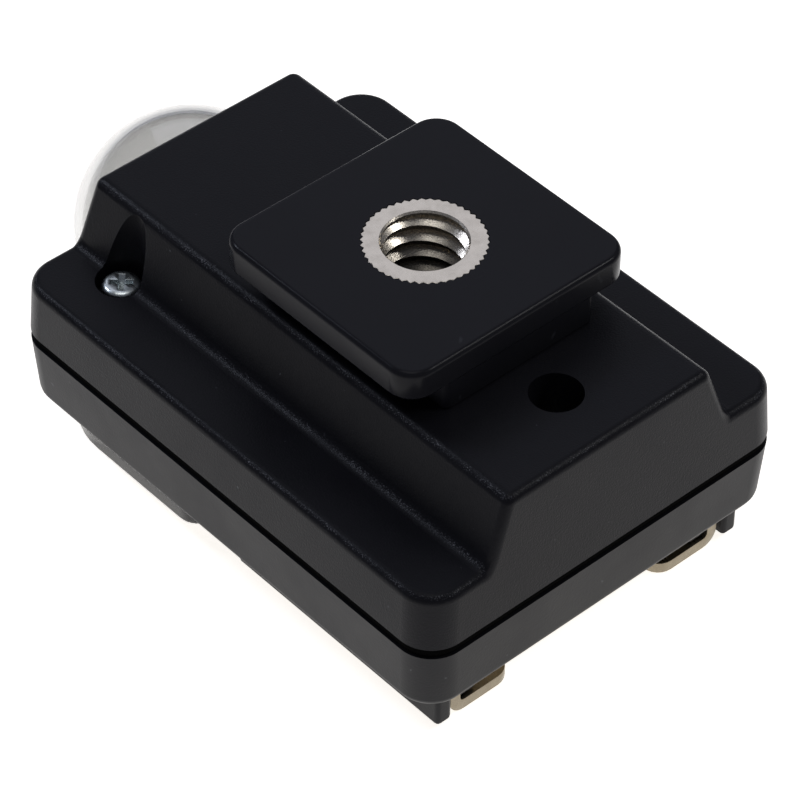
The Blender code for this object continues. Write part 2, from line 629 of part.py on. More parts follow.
def make_insert(shop, material):
    """Metal sleeve for the tripod screw, flush with the foot's face."""
    chamfer = 0.25 * MM
    low = FOOT_Z - INSERT_LENGTH
    profile = [(INSERT_BORE_RADIUS + chamfer, FOOT_Z), (INSERT_RADIUS, FOOT_Z),
               (INSERT_RADIUS, low), (INSERT_BORE_RADIUS, low),
               (INSERT_BORE_RADIUS, FOOT_Z - chamfer)]
    return turned(shop, "threaded_insert", profile, (FOOT_X, 0.0, 0.0), material, FINE_SEGMENTS)


# ================================================================ accessory shoe
def make_shoe_frame(shop, material):
    """Sheet-metal channel: base plate, two walls, and two lips turned in over the slot."""
    half = SHOE_OUTER_WIDTH / 2
    base_top = BASE_FACE_Z + SHEET
    outer = box_bmesh((SHOE_BACK_X, -half, LIP_Z), (SHOE_FRONT_X, half, base_top))
    lower_bends = edges_where(outer, lambda co: co.z < LIP_Z + MM / 10)
    bevel(outer, [e for e in lower_bends if abs(e.verts[0].co.x - e.verts[1].co.x) > MM],
          SHOE_BEND, 4)
    blank = shop.add("shoe_blank", to_mesh(outer, "shoe_blank"), cutter=True)
    inner = half - SHEET
    channel = box_bmesh((SHOE_BACK_X - MM, -inner, LIP_Z + SHEET),
                        (SHOE_FRONT_X + MM, inner, BASE_FACE_Z))
    combine(blank, shop.add("shoe_channel", to_mesh(channel, "shoe_channel"), cutter=True),
            "DIFFERENCE")
    slot_half = SHOE_SLOT_WIDTH / 2
    slot = box_bmesh((SHOE_BACK_X - MM, -slot_half, LIP_Z - MM),
                     (SHOE_FRONT_X + MM, slot_half, LIP_Z + 2 * SHEET))
    combine(blank, shop.add("shoe_slot", to_mesh(slot, "shoe_slot"), cutter=True), "DIFFERENCE")
    hole = cutter_cylinder(shop, "frame_contact_hole", INSULATOR_RADIUS + CLEARANCE,
                           BASE_FACE_Z - MM / 2, base_top + MM, SHOE_CENTRE_X)
    combine(blank, hole, "DIFFERENCE")
    for x, y in SHOE_SCREW_PLACES:
        sink = turned(shop, "countersink", countersink_profile(CLEARANCE, base_top + MM),
                      (x, y, 0.0), None, SMALL_SEGMENTS, cutter=True)
        combine(blank, sink, "DIFFERENCE")
    bm = bmesh.new()
    bm.from_mesh(baked(blank))
    slot_corners = [edge for edge in bm.edges
                    if is_upright(edge) and abs(abs(edge.verts[0].co.y) - slot_half) < MM / 20
                    and edge.verts[0].co.z < LIP_Z + SHEET + MM / 20]
    bevel(bm, slot_corners, SHOE_LIP_CORNER, 4)
    return shop.add("shoe_frame", to_mesh(bm, "shoe_frame"), material=material)


def countersink_profile(gap, top_z):
    """Flat-head screw's outline grown by a gap, from its buried end down to its face."""
    face = BASE_FACE_Z - (MM / 2 if gap else -CLEARANCE / 2)
    cone = SHOE_SCREW_HEAD_RADIUS - SHOE_SCREW_SHANK_RADIUS
    flare = BASE_FACE_Z + CLEARANCE / 2 + cone
    return [(0.0, top_z), (SHOE_SCREW_SHANK_RADIUS + gap, top_z),
            (SHOE_SCREW_SHANK_RADIUS + gap, flare + gap / 2),
            (SHOE_SCREW_HEAD_RADIUS + gap, BASE_FACE_Z + CLEARANCE / 2 + gap / 2),
            (SHOE_SCREW_HEAD_RADIUS + gap, face), (0.0, face)]


def make_shoe_screws(shop, material):
    top_z = BASE_FACE_Z + SHOE_SCREW_LENGTH
    for number, (x, y) in enumerate(SHOE_SCREW_PLACES, start=1):
        turned(shop, f"shoe_screw_{number}", countersink_profile(0.0, top_z), (x, y, 0.0),
               material, SMALL_SEGMENTS)


def make_shoe_liner(shop, material):
    """Plastic horseshoe inside the channel: two side rails and the bar that stops the foot."""
    outer = SHOE_OUTER_WIDTH / 2 - SHEET - CLEARANCE
    low, high = LIP_Z + SHEET + CLEARANCE, BASE_FACE_Z - CLEARANCE
    bm = box_bmesh((SHOE_BACK_X, -outer, low), (SHOE_FRONT_X - 2 * CLEARANCE, outer, high))
    liner = shop.add("shoe_liner", to_mesh(bm, "shoe_liner"), material=material)
    half = FOOT_CHANNEL_WIDTH / 2
    opening = box_bmesh((SHOE_BACK_X + LINER_STOP, -half, low - MM),
                        (SHOE_FRONT_X + MM, half, high + MM))
    round_corners(opening, 0.6 * MM, 3)
    opening = shop.add("liner_opening", to_mesh(opening, "liner_opening"), cutter=True)
    combine(liner, opening, "DIFFERENCE")
    return liner


def make_leaf_springs(shop, material):
    """Bowed strips that take up the play of a foot in the shoe."""
    for side, word in ((-1, "left"), (1, "right")):
        bm = bmesh.new()
        bmesh.ops.create_grid(bm, x_segments=12, y_segments=1, size=0.5)
        bmesh.ops.scale(bm, vec=(LEAF_LENGTH, LEAF_WIDTH, 1.0), verts=bm.verts)
        for vert in bm.verts:
            vert.co.z = -LEAF_BOW * math.cos(math.pi * vert.co.x / LEAF_LENGTH) ** 2
        mesh = to_mesh(bm, "shoe_spring_" + word)
        level = BASE_FACE_Z - CLEARANCE - LEAF_THICKNESS / 2
        leaf = shop.add("shoe_spring_" + word, mesh, (SHOE_CENTRE_X, side * LEAF_Y, level), material)
        thicken = leaf.modifiers.new("thickness", "SOLIDIFY")
        thicken.thickness = LEAF_THICKNESS
        thicken.offset = 0.0
        thicken.use_even_offset = True


def make_contact_insulator(shop, material):
    """Flanged plastic bush that carries the sprung contact through the metal base."""
    face = BASE_FACE_Z
    flange_top = BASE_FACE_Z + SHEET
    top = face + INSULATOR_LENGTH
    bore = CONTACT_RADIUS + RUNNING_CLEARANCE
    chamber = CONTACT_SHOULDER_RADIUS + RUNNING_CLEARANCE
    step = face + INSULATOR_STEP
    profile = [(chamber, top), (INSULATOR_NECK_RADIUS, top), (INSULATOR_NECK_RADIUS, flange_top),
               (INSULATOR_RADIUS, flange_top), (INSULATOR_RADIUS, face), (bore, face),
               (bore, step), (chamber, step)]
    return turned(shop, "contact_insulator", profile, (SHOE_CENTRE_X, 0.0, 0.0), material)


def make_centre_contact(shop, material):
    """Sprung contact; its origin is on the line that it slides along, at its tip."""
    shoulder = INSULATOR_STEP + CLEARANCE + CONTACT_PROUD
    top = shoulder + CONTACT_SHOULDER_HEIGHT
    tip = 0.45 * MM
    nose = arc(tip, 0.0, -90.0, 4, (CONTACT_RADIUS - tip, tip))
    profile = [(0.0, top), (CONTACT_SHOULDER_RADIUS, top), (CONTACT_SHOULDER_RADIUS, shoulder),
               (CONTACT_RADIUS, shoulder)] + nose + [(0.0, 0.0)]
    return turned(shop, "centre_contact", profile,
                  (SHOE_CENTRE_X, 0.0, BASE_FACE_Z - CONTACT_PROUD), material)


def make_contact_spring(shop, material):
    """Coil spring, drawn at the length it has with the contact pressed home."""
    low = (BASE_FACE_Z + INSULATOR_STEP + 2 * CLEARANCE + CONTACT_SHOULDER_HEIGHT + CONTACT_TRAVEL
           + SPRING_WIRE_RADIUS)
    high = BASE_FACE_Z + INSULATOR_LENGTH - SPRING_WIRE_RADIUS
    count = int(SPRING_TURNS * 12)
    points = []
    for i in range(count + 1):
        angle = math.tau * SPRING_TURNS * i / count
        points.append((SPRING_RADIUS * math.cos(angle), SPRING_RADIUS * math.sin(angle),
                       low + (high - low) * i / count))
    return wire(shop, "contact_spring", points, SPRING_WIRE_RADIUS, material,
                (SHOE_CENTRE_X, 0.0, 0.0))


def make_contact_terminal(shop, material):
    """Solder tag that closes the insulator and backs the spring."""
    low = BASE_FACE_Z + INSULATOR_LENGTH + CLEARANCE
    mesh = to_mesh(cylinder_bmesh(TERMINAL_RADIUS, low, low + TERMINAL_THICKNESS), "terminal")
    return shop.add("contact_terminal", mesh, (SHOE_CENTRE_X, 0.0, 0.0), material)


# ================================================================ clear sensor window
def ball_bmesh(radius, around, rings):
    """Ball with its poles along X; an odd count of rings keeps its corners off the end plane."""
    bm = bmesh.new()
    bmesh.ops.create_uvsphere(bm, u_segments=around, v_segments=rings, radius=radius)
    bmesh.ops.rotate(bm, matrix=Matrix.Rotation(math.pi / 2, 3, "Y"), verts=bm.verts)
    return bm


def make_sensor_window(shop, material):
    """Clear moulding: a hollow dome over the end, and the flat window under the front face."""
    half_length = BODY_LENGTH / 2 - WINDOW_INSET
    half_width = BODY_WIDTH / 2 - WINDOW_INSET
    top = FRONT_Z - CLEARANCE
    low = top - WINDOW_THICKNESS
    plate = box_bmesh((-half_length, -half_width, low), (WINDOW_INNER_X, half_width, top + MM))
    dome_end = [e for e in plate.edges if is_upright(e) and e.verts[0].co.x < -half_length / 2]
    bevel(plate, dome_end, WINDOW_END_CORNER, 6)
    shoe_end = [e for e in plate.edges if is_upright(e) and e.verts[0].co.x > WINDOW_INNER_X - MM / 10]
    bevel(plate, shoe_end, WINDOW_CORNER, 4)
    bevel(plate, edges_where(plate, lambda co: co.z < low + MM / 10), WINDOW_EDGE, 2)
    window = shop.add("sensor_window", to_mesh(plate, "sensor_window"), material=material)
    centre = (DOME_X, 0.0, DOME_Z)
    ball = shop.add("dome_outside", to_mesh(ball_bmesh(DOME_RADIUS, 40, 21), "dome_outside"),
                    centre, cutter=True)
    combine(window, ball, "UNION")
    casing = box_bmesh((DOME_X, -BODY_WIDTH, top), (BODY_LENGTH, BODY_WIDTH, 2 * BLOCK_Z))
    casing = shop.add("casing_room", to_mesh(casing, "casing_room"), cutter=True)
    combine(window, casing, "DIFFERENCE")
    inside = ball_bmesh(DOME_RADIUS - DOME_WALL, 36, 17)
    inside = shop.add("dome_inside", to_mesh(inside, "dome_inside"), centre, cutter=True)
    combine(window, inside, "DIFFERENCE")
    for y in (-PEG_Y, PEG_Y):
        peg = cutter_cylinder(shop, "window_peg", PEG_RADIUS, top - WINDOW_THICKNESS / 2,
                              top + PEG_HEIGHT, PEG_X, y)
        combine(window, peg, "UNION")
    return window


# ================================================================ sensor and electronics
def make_photo_sensor(shop, material):
    """Round sensor through the end wall, looking out into the dome."""
    wall_x = -BODY_LENGTH / 2 + DRAFT * (SENSOR_Z - COVER_RIM_Z)
    inner_x = wall_x + WALL
    tip = SENSOR_REACH + (inner_x - wall_x)
    nose = arc(SENSOR_RADIUS, 90.0, 0.0, 5, (0.0, tip - SENSOR_RADIUS))
    collar_top = -CLEARANCE
    collar_low = collar_top - SENSOR_COLLAR
    profile = nose + [(SENSOR_RADIUS, collar_top), (SENSOR_COLLAR_RADIUS, collar_top),
                      (SENSOR_COLLAR_RADIUS, collar_low), (SENSOR_RADIUS, collar_low),
                      (SENSOR_RADIUS, collar_low - SENSOR_TAIL), (0.0, collar_low - SENSOR_TAIL)]
    profile[0] = (0.0, tip)
    sensor = turned(shop, "photo_sensor", profile, (inner_x, 0.0, SENSOR_Z), material)
    sensor.rotation_euler = (0.0, -math.pi / 2, 0.0)
    return inner_x - collar_low + SENSOR_TAIL


def make_sensor_leads(shop, start_x, material):
    """Two leads from the sensor's back down to the board."""
    end_x = BOARD_LOW_X + LEAD_PAD_INSET
    low = BOARD_TOP_Z + CLEARANCE
    for side, word in ((-1, "emitter"), (1, "collector")):
        y = side * LEAD_SPACING / 2
        route = smooth_route([(start_x + CLEARANCE, y, SENSOR_Z),
                              ((start_x + end_x) / 2 + 0.8 * MM, y * 1.4, SENSOR_Z - 0.2 * MM),
                              (end_x - 0.2 * MM, y * 2.0, (SENSOR_Z + low) / 2),
                              (end_x, y * 2.0, low)])
        wire(shop, "sensor_lead_" + word, route, LEAD_RADIUS, material)


def make_board(shop, material):
    bm = box_bmesh((BOARD_LOW_X, -BOARD_HALF_WIDTH, BOARD_Z),
                   (BOARD_HIGH_X, BOARD_HALF_WIDTH, BOARD_TOP_Z))
    round_corners(bm, BOARD_CORNER, 3)
    return shop.add("main_board", to_mesh(bm, "main_board"), material=material)


def make_capacitor(shop, material):
    """Electrolytic can, standing on the board."""
    low = BOARD_TOP_Z + CLEARANCE
    top = low + CAPACITOR_HEIGHT
    edge, groove = CAPACITOR_EDGE, CAPACITOR_GROOVE
    radius = CAPACITOR_RADIUS
    crimp = low + 3.5 * edge
    profile = [(0.0, top), (radius - edge, top), (radius, top - edge), (radius, crimp + edge),
               (radius - groove, crimp), (radius, crimp - edge), (radius, low + edge),
               (radius - edge, low), (0.0, low)]
    return turned(shop, "storage_capacitor", profile, (CAPACITOR_X, CAPACITOR_Y, 0.0), material)


def make_thyristor(shop, material):
    """Flat-sided moulded switch body."""
    low = BOARD_TOP_Z + CLEARANCE + THYRISTOR_STAND
    bm = cylinder_bmesh(THYRISTOR_RADIUS, low, low + THYRISTOR_HEIGHT)
    bmesh.ops.bisect_plane(bm, geom=bm.verts[:] + bm.edges[:] + bm.faces[:],
                           plane_co=(0.0, -THYRISTOR_FLAT, 0.0), plane_no=(0.0, -1.0, 0.0),
                           clear_outer=True)
    bmesh.ops.holes_fill(bm, edges=[edge for edge in bm.edges if edge.is_boundary], sides=0)
    return shop.add("thyristor", to_mesh(bm, "thyristor"), (THYRISTOR_X, THYRISTOR_Y, 0.0),
                    material)


def make_thyristor_legs(shop, material):
    """Three legs under the moulded body, ending on the board."""
    low = BOARD_TOP_Z + CLEARANCE
    top = low + THYRISTOR_STAND - CLEARANCE
    for number in (-1, 0, 1):
        bm = box_bmesh((-LEG_HALF, -LEG_HALF, low), (LEG_HALF, LEG_HALF, top))
        shop.add(f"thyristor_leg_{number + 2}", to_mesh(bm, "leg"),
                 (THYRISTOR_X + number * LEAD_SPACING, THYRISTOR_Y + LEG_SHIFT, 0.0), material)


def make_resistors(shop, material):
    """Axial resistors lying on the board, each turned with its two straight leads."""
    end, half = RESISTOR_END_RADIUS, RESISTOR_LENGTH / 2
    shoulder = 0.3 * RESISTOR_END_LENGTH
    upper = [(0.0, RESISTOR_REACH / 2), (RESISTOR_LEAD_RADIUS, RESISTOR_REACH / 2),
             (RESISTOR_LEAD_RADIUS, half), (end - shoulder, half), (end, half - shoulder),
             (end, half - RESISTOR_END_LENGTH),
             (RESISTOR_BODY_RADIUS, half - RESISTOR_END_LENGTH - shoulder)]
    profile = upper + [(radius, -height) for radius, height in reversed(upper)]
    z = BOARD_TOP_Z + CLEARANCE + end
    for number, (inset, y) in enumerate(RESISTOR_INSETS, start=1):
        item = turned(shop, f"resistor_{number}", profile, (BOARD_HIGH_X - inset, y, z), material,
                      SMALL_SEGMENTS)
        item.rotation_euler = (0.0, math.pi / 2, 0.0)


def make_film_capacitor(shop, material):
    low = BOARD_TOP_Z + CLEARANCE
    bm = box_bmesh((-FILM_LENGTH / 2, -FILM_WIDTH / 2, low),
                   (FILM_LENGTH / 2, FILM_WIDTH / 2, low + FILM_HEIGHT))
    bevel(bm, edges_where(bm, lambda co: co.z > low + FILM_HEIGHT / 2), FILM_EDGE, 2)
    return shop.add("film_capacitor", to_mesh(bm, "film_capacitor"),
                    (BOARD_HIGH_X - FILM_INSET, FILM_Y, 0.0), material)


def make_indicator_lamp(shop, material):
    """Amber lamp set in the front face, behind the clear window."""
    low = FRONT_Z + CLEARANCE
    top = low + LAMP_HEIGHT
    rim = 0.9 * MM
    profile = [(0.0, top), (LAMP_RADIUS, top), (LAMP_RADIUS, low + rim)]
    profile += arc(rim, 0.0, -90.0, 4, (LAMP_RADIUS - rim, low + rim)) + [(0.0, low)]
    return turned(shop, "indicator_lamp", profile, (LAMP_X, LAMP_Y, 0.0), material)


def make_wires(shop, material_signal, material_ground):
    """Insulated wires from the contact's tag and the frame's screw up to the board."""
    tag_z = BASE_FACE_Z + INSULATOR_LENGTH + CLEARANCE + TERMINAL_THICKNESS
    past_x = BOARD_HIGH_X + WIRE_ROOM - WIRE_RADIUS
    above_z = BOARD_TOP_Z + WIRE_RADIUS + CLEARANCE
    signal = smooth_route([(SHOE_CENTRE_X, 0.0, tag_z + WIRE_RADIUS + CLEARANCE),
                           (past_x - 0.3 * MM, 0.4 * MM, tag_z + WIRE_RADIUS + CLEARANCE),
                           (past_x + 0.1 * MM, 1.0 * MM, BOARD_TOP_Z),
                           (BOARD_HIGH_X - 0.4 * MM, 1.3 * MM, above_z + 1.0 * MM),
                           (BOARD_HIGH_X - WIRE_PAD_INSET, 1.4 * MM, above_z + 0.2 * MM)])
    wire(shop, "contact_wire", signal, WIRE_RADIUS, material_signal)
    screw_x, screw_y = SHOE_SCREW_PLACES[2]
    start_z = BASE_FACE_Z + SHOE_SCREW_LENGTH + WIRE_RADIUS + CLEARANCE
    ground = smooth_route([(screw_x, screw_y, start_z),
                           (past_x, screw_y - 0.8 * MM, BOARD_Z - WIRE_RADIUS),
                           (past_x + 0.1 * MM, screw_y - 1.2 * MM, BOARD_TOP_Z),
                           (BOARD_HIGH_X - 0.4 * MM, screw_y - 1.6 * MM, above_z + 1.0 * MM),
                           (BOARD_HIGH_X - WIRE_PAD_INSET, screw_y - 1.8 * MM, above_z + 0.2 * MM)])
    wire(shop, "ground_wire", ground, WIRE_RADIUS, material_ground)


# ================================================================ the unit
def main():
    clear_scene()
    shop = Workshop("light_meter")
    black_shell = new_material("moulded_black_shell", (0.012, 0.012, 0.014), 0.42)
    gloss_black = new_material("gloss_black_foot", (0.008, 0.008, 0.011), 0.22)
    rubber = new_material("black_rubber", (0.004, 0.004, 0.004), 0.7)
    nickel = new_material("nickel_plate", (0.62, 0.59, 0.55), 0.3, 1.0)
    zinc = new_material("zinc_screw", (0.55, 0.57, 0.58), 0.35, 1.0)
    liner_black = new_material("liner_black", (0.01, 0.01, 0.011), 0.5)
    clear = new_material("clear_moulding", (0.93, 0.94, 0.95), 0.05, 0.0, 0.25)
    smoke = new_material("smoked_lens", (0.05, 0.04, 0.06), 0.1)
    amber = new_material("amber_lens", (0.9, 0.32, 0.04), 0.15)
    green_board = new_material("circuit_board", (0.02, 0.12, 0.05), 0.4)
    can = new_material("capacitor_sleeve", (0.02, 0.03, 0.12), 0.35)
    epoxy = new_material("epoxy_black", (0.02, 0.02, 0.02), 0.5)
    tan = new_material("resistor_body", (0.55, 0.42, 0.26), 0.45)
    film = new_material("film_capacitor_red", (0.45, 0.08, 0.05), 0.3)
    tinned = new_material("tinned_wire", (0.7, 0.7, 0.7), 0.3, 1.0)
    spring_steel = new_material("spring_steel", (0.5, 0.5, 0.5), 0.3, 1.0)
    brass = new_material("brass_contact", (0.75, 0.6, 0.28), 0.25, 1.0)
    red_wire = new_material("red_insulation", (0.5, 0.02, 0.02), 0.4)
    black_wire = new_material("black_insulation", (0.01, 0.01, 0.01), 0.4)

    make_rear_cover(shop, black_shell)
    make_front_housing(shop, black_shell)
    make_gasket(shop, rubber)
    make_case_screws(shop, zinc)
    make_foot_screws(shop, zinc)
    make_mount_foot(shop, gloss_black)
    make_insert(shop, nickel)
    make_shoe_frame(shop, nickel)
    make_shoe_screws(shop, zinc)
    make_shoe_liner(shop, liner_black)
    make_leaf_springs(shop, spring_steel)
    make_contact_insulator(shop, liner_black)
    make_centre_contact(shop, brass)
    make_contact_spring(shop, spring_steel)
    make_contact_terminal(shop, brass)
    make_sensor_window(shop, clear)
    lead_start = make_photo_sensor(shop, smoke)
    make_sensor_leads(shop, lead_start, tinned)
    make_board(shop, green_board)
    make_capacitor(shop, can)
    make_thyristor(shop, epoxy)
    make_thyristor_legs(shop, tinned)
    make_resistors(shop, tan)
    make_film_capacitor(shop, film)
    make_indicator_lamp(shop, amber)
    make_wires(shop, red_wire, black_wire)


main()
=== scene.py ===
"""Shoe-mount light sensor: its finished surfaces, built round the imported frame.

The unit is two black moulded shells with a rubber band in the seam, a glossy mounting foot with
a threaded sleeve on the back, a sheet-metal accessory shoe on the front, and a clear moulding
whose dome looks past the end of the casing.  +Z is the foot's side and -X the dome's end.
"""
import logging
import math
from dataclasses import dataclass, field
from enum import Enum
from typing import Callable, Iterable, Sequence

import bmesh
import bpy
from bmesh.types import BMEdge, BMesh, BMVert
from mathutils import Matrix, Vector


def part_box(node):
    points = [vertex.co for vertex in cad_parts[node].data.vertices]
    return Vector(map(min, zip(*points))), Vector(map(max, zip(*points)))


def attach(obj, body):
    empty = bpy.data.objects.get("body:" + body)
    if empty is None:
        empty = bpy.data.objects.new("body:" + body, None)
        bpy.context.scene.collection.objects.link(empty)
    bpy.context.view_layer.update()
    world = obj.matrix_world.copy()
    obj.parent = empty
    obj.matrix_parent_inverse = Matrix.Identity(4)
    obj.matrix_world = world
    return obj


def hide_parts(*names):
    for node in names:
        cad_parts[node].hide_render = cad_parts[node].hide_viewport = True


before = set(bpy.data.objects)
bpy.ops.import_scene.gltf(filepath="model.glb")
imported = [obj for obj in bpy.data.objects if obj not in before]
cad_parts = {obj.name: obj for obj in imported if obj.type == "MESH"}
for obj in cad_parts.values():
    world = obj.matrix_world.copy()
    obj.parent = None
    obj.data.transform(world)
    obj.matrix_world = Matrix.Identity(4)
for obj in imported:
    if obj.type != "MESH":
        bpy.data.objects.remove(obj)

log = logging.getLogger("light_sensor")

MM = 0.001
FINE_TURN = 64                       # sides of a round shape that is seen close to
COARSE_TURN = 32                     # sides of a small or half-hidden round shape
MERGE = 1e-7                         # vertices nearer than this are one
NEAR = 0.1 * MM                      # an edge of a face lies nearer to the face's level than this
SHARP = 32.0                         # degrees; edges that turn by more than this stay crisp
UPRIGHT = 0.8                        # rise to length of an edge that still counts as upright
ORIGIN = (0.0, 0.0, 0.0)
UP = (0.0, 0.0, 1.0)
CASE_SCREWS = ("case_screw_left", "case_screw_right", "case_screw_end")
FOOT_SCREWS = ("foot_screw_rear", "foot_screw_front")
HEAD_HEIGHT = 0.95 * MM              # of the case screws' heads
SHANK = 0.9 * MM                     # radius of the case screws' and foot screws' shanks
RING_NECK = 2.65 * MM                # radius of the insulating ring's neck
SENSOR_RADIUS = 1.5 * MM
Point = tuple[float, float, float]
Profile = list[tuple[float, float]]  # (radius, height) points, from the top down the outer side


class Body(Enum):
    """The two bodies that a piece can ride on."""

    CASING = "casing"
    CONTACT = "contact"


class Cut(Enum):
    """How one solid acts on another."""

    TAKE = "DIFFERENCE"
    JOIN = "UNION"


@dataclass(frozen=True)
class Span:
    """Lowest and highest corners of a node of the frame."""

    low: Vector
    high: Vector

    @classmethod
    def of(cls, node: str) -> "Span":
        """Measure a node.

        Args:
            node: the node's name in the frame.

        Returns:
            The node's box at rest.
        """
        low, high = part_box(node)
        return cls(Vector(low), Vector(high))

    @property
    def middle(self) -> Vector:
        """Centre of the box."""
        return (self.low + self.high) / 2

    @property
    def size(self) -> Vector:
        """Length of the box along each axis."""
        return self.high - self.low


# ================================================================ mesh tools
def move(bm: BMesh, step: Sequence[float]) -> BMesh:
    """Move a shape, and return it."""
    bmesh.ops.translate(bm, vec=step, verts=bm.verts)
    return bm


def turn_about(bm: BMesh, angle: float, axis: str) -> BMesh:
    """Turn a shape about an axis through the origin.

    Args:
        bm: the shape, changed in place.
        angle: how far, in degrees.
        axis: X, Y or Z.

    Returns:
        The same shape.
    """
    bmesh.ops.rotate(bm, cent=ORIGIN, matrix=Matrix.Rotation(math.radians(angle), 3, axis),
                     verts=bm.verts)
    return bm


def block(low: Sequence[float], high: Sequence[float]) -> BMesh:
    """Make a box.

    Args:
        low: lowest corner, in metres.
        high: highest corner, in metres.

    Returns:
        A bmesh that the caller owns.
    """
    bm = bmesh.new()
    bmesh.ops.create_cube(bm, size=1.0)
    low, high = Vector(low), Vector(high)
    bmesh.ops.scale(bm, vec=high - low, verts=bm.verts)
    return move(bm, (low + high) / 2)


def drum(radius: float, low: float, high: float, place: Sequence[float] = ORIGIN,
         sides: int = COARSE_TURN) -> BMesh:
    """Make an upright cylinder.

    Args:
        radius: its radius.
        low: height of its lower end.
        high: height of its upper end.
        place: a point whose X and Y its axis goes through.
        sides: how many sides it has.

    Returns:
        A closed bmesh.
    """
    bm = bmesh.new()
    bmesh.ops.create_cone(bm, cap_ends=True, segments=sides, radius1=radius, radius2=radius,
                          depth=high - low)
    return move(bm, (place[0], place[1], (low + high) / 2))


def turned(profile: Profile, place: Sequence[float] = ORIGIN, sides: int = FINE_TURN) -> BMesh:
    """Turn a profile about an upright axis.

    Args:
        profile: points that end on the axis, or a ring whose last point joins its first.
        place: a point whose X and Y the axis goes through.
        sides: how many steps a full turn has.

    Returns:
        A closed bmesh with its faces outwards.
    """
    bm = bmesh.new()
    verts = [bm.verts.new((radius, 0.0, height)) for radius, height in profile]
    edges = [bm.edges.new(pair) for pair in zip(verts, verts[1:])]
    if profile[0][0] > 0.0:
        edges.append(bm.edges.new((verts[-1], verts[0])))
    bmesh.ops.spin(bm, geom=verts + edges, cent=ORIGIN, axis=UP, dvec=ORIGIN, angle=math.tau,
                   steps=sides, use_merge=True, use_duplicate=False)
    bmesh.ops.remove_doubles(bm, verts=bm.verts, dist=MERGE)
    move(bm, (place[0], place[1], 0.0))
    bmesh.ops.recalc_face_normals(bm, faces=bm.faces)
    return bm


def arc(radius: float, start: float, end: float, steps: int, centre: Sequence[float]) -> Profile:
    """Points along an arc of a profile.

    Args:
        radius: the arc's radius.
        start: first angle, in degrees from the outward direction.
        end: last angle, in degrees.
        steps: how many stretches it has.
        centre: (radius, height) of the arc's centre.

    Returns:
        Its points, both ends among them.
    """
    turns = [math.radians(start + (end - start) * i / steps) for i in range(steps + 1)]
    return [(centre[0] + radius * math.cos(a), centre[1] + radius * math.sin(a)) for a in turns]


def edges_where(bm: BMesh, test: Callable[[Vector], bool]) -> list[BMEdge]:
    """List the edges whose two ends both pass a test of their place."""
    return [edge for edge in bm.edges if all(test(vert.co) for vert in edge.verts)]


def edges_near(bm: BMesh, level: float, reach: float = NEAR) -> list[BMEdge]:
    """List the edges that lie at a level, give or take a small reach."""
    return edges_where(bm, lambda co: abs(co.z - level) < reach)


def uprights(bm: BMesh) -> list[BMEdge]:
    """List the edges that stand up, straight or leaning with the draft."""
    return [edge for edge in bm.edges
            if abs(edge.verts[1].co.z - edge.verts[0].co.z) > UPRIGHT * edge.calc_length()]


def round_off(bm: BMesh, edges: Iterable[BMEdge], radius: float, steps: int) -> None:
    """Round some edges.

    Args:
        bm: the shape, changed in place.
        edges: the edges to round.
        radius: the fillet's radius.
        steps: faces across the fillet.
    """
    bmesh.ops.bevel(bm, geom=list(edges), offset=radius, offset_type="OFFSET", segments=steps,
                    profile=0.5, affect="EDGES", clamp_overlap=True, material=-1)


def shade(mesh: bpy.types.Mesh, sharp: float = SHARP) -> None:
    """Shade a mesh smooth, but for the edges that turn by more than an angle in degrees."""
    mesh.shade_smooth()
    mesh.set_sharp_from_angle(angle=math.radians(sharp))


def put(name: str, data: bpy.types.ID, place: Matrix = Matrix.Identity(4)) -> bpy.types.Object:
    """Put something into the scene as a new object.

    Args:
        name: the object's name.
        data: its mesh, light or camera.
        place: where it stands and how it is turned.

    Returns:
        The new object.
    """
    item = bpy.data.objects.new(name, data)
    bpy.context.scene.collection.objects.link(item)
    item.matrix_world = place
    return item


def piece(bm: BMesh, name: str) -> bpy.types.Object:
    """Make an object at the origin from a bmesh.

    Args:
        bm: the shape; it is freed.
        name: the object's name.

    Returns:
        The new object.
    """
    bmesh.ops.recalc_face_normals(bm, faces=bm.faces)
    mesh = bpy.data.meshes.new(name)
    bm.to_mesh(mesh)
    bm.free()
    shade(mesh)
    return put(name, mesh)


def discard(item: bpy.types.Object) -> None:
    """Take an object and its mesh away.

    Args:
        item: the object.
    """
    mesh = item.data
    bpy.data.objects.remove(item)
    bpy.data.meshes.remove(mesh)


def apply_modifiers(item: bpy.types.Object) -> None:
    """Replace an object's mesh by what its modifiers make of it, and clear them.

    Args:
        item: the object; it is left with no modifiers.
    """
    bpy.context.view_layer.update()
    graph = bpy.context.evaluated_depsgraph_get()
    mesh = bpy.data.meshes.new_from_object(item.evaluated_get(graph), depsgraph=graph)
    item.modifiers.clear()
    item.data = mesh
    mesh.name = item.name


def flatten(item: bpy.types.Object) -> None:
    """Let an object's large faces set the shading, so that it stays even beside its fillets.

    Args:
        item: the object.
    """
    step = item.modifiers.new("flatten", "WEIGHTED_NORMAL")
    step.keep_sharp = True
    step.weight = 50
    apply_modifiers(item)


def shape(item: bpy.types.Object, how: Cut, tools: Iterable[BMesh], sharp: float = SHARP) -> None:
    """Cut or join other solids into an object, and leave nothing of them in the scene.

    Args:
        item: the object that is shaped.
        how: whether the tools are taken away or joined on.
        tools: closed solids; each is used once.
        sharp: edges that turn by more than this many degrees stay crisp.
    """
    helpers = [piece(bm, item.name + "_tool") for bm in tools]
    for helper in helpers:
        step = item.modifiers.new(helper.name, "BOOLEAN")
        step.operation = how.value
        step.solver = "EXACT"
        step.object = helper
    apply_modifiers(item)
    shade(item.data, sharp)
    for helper in helpers:
        discard(helper)


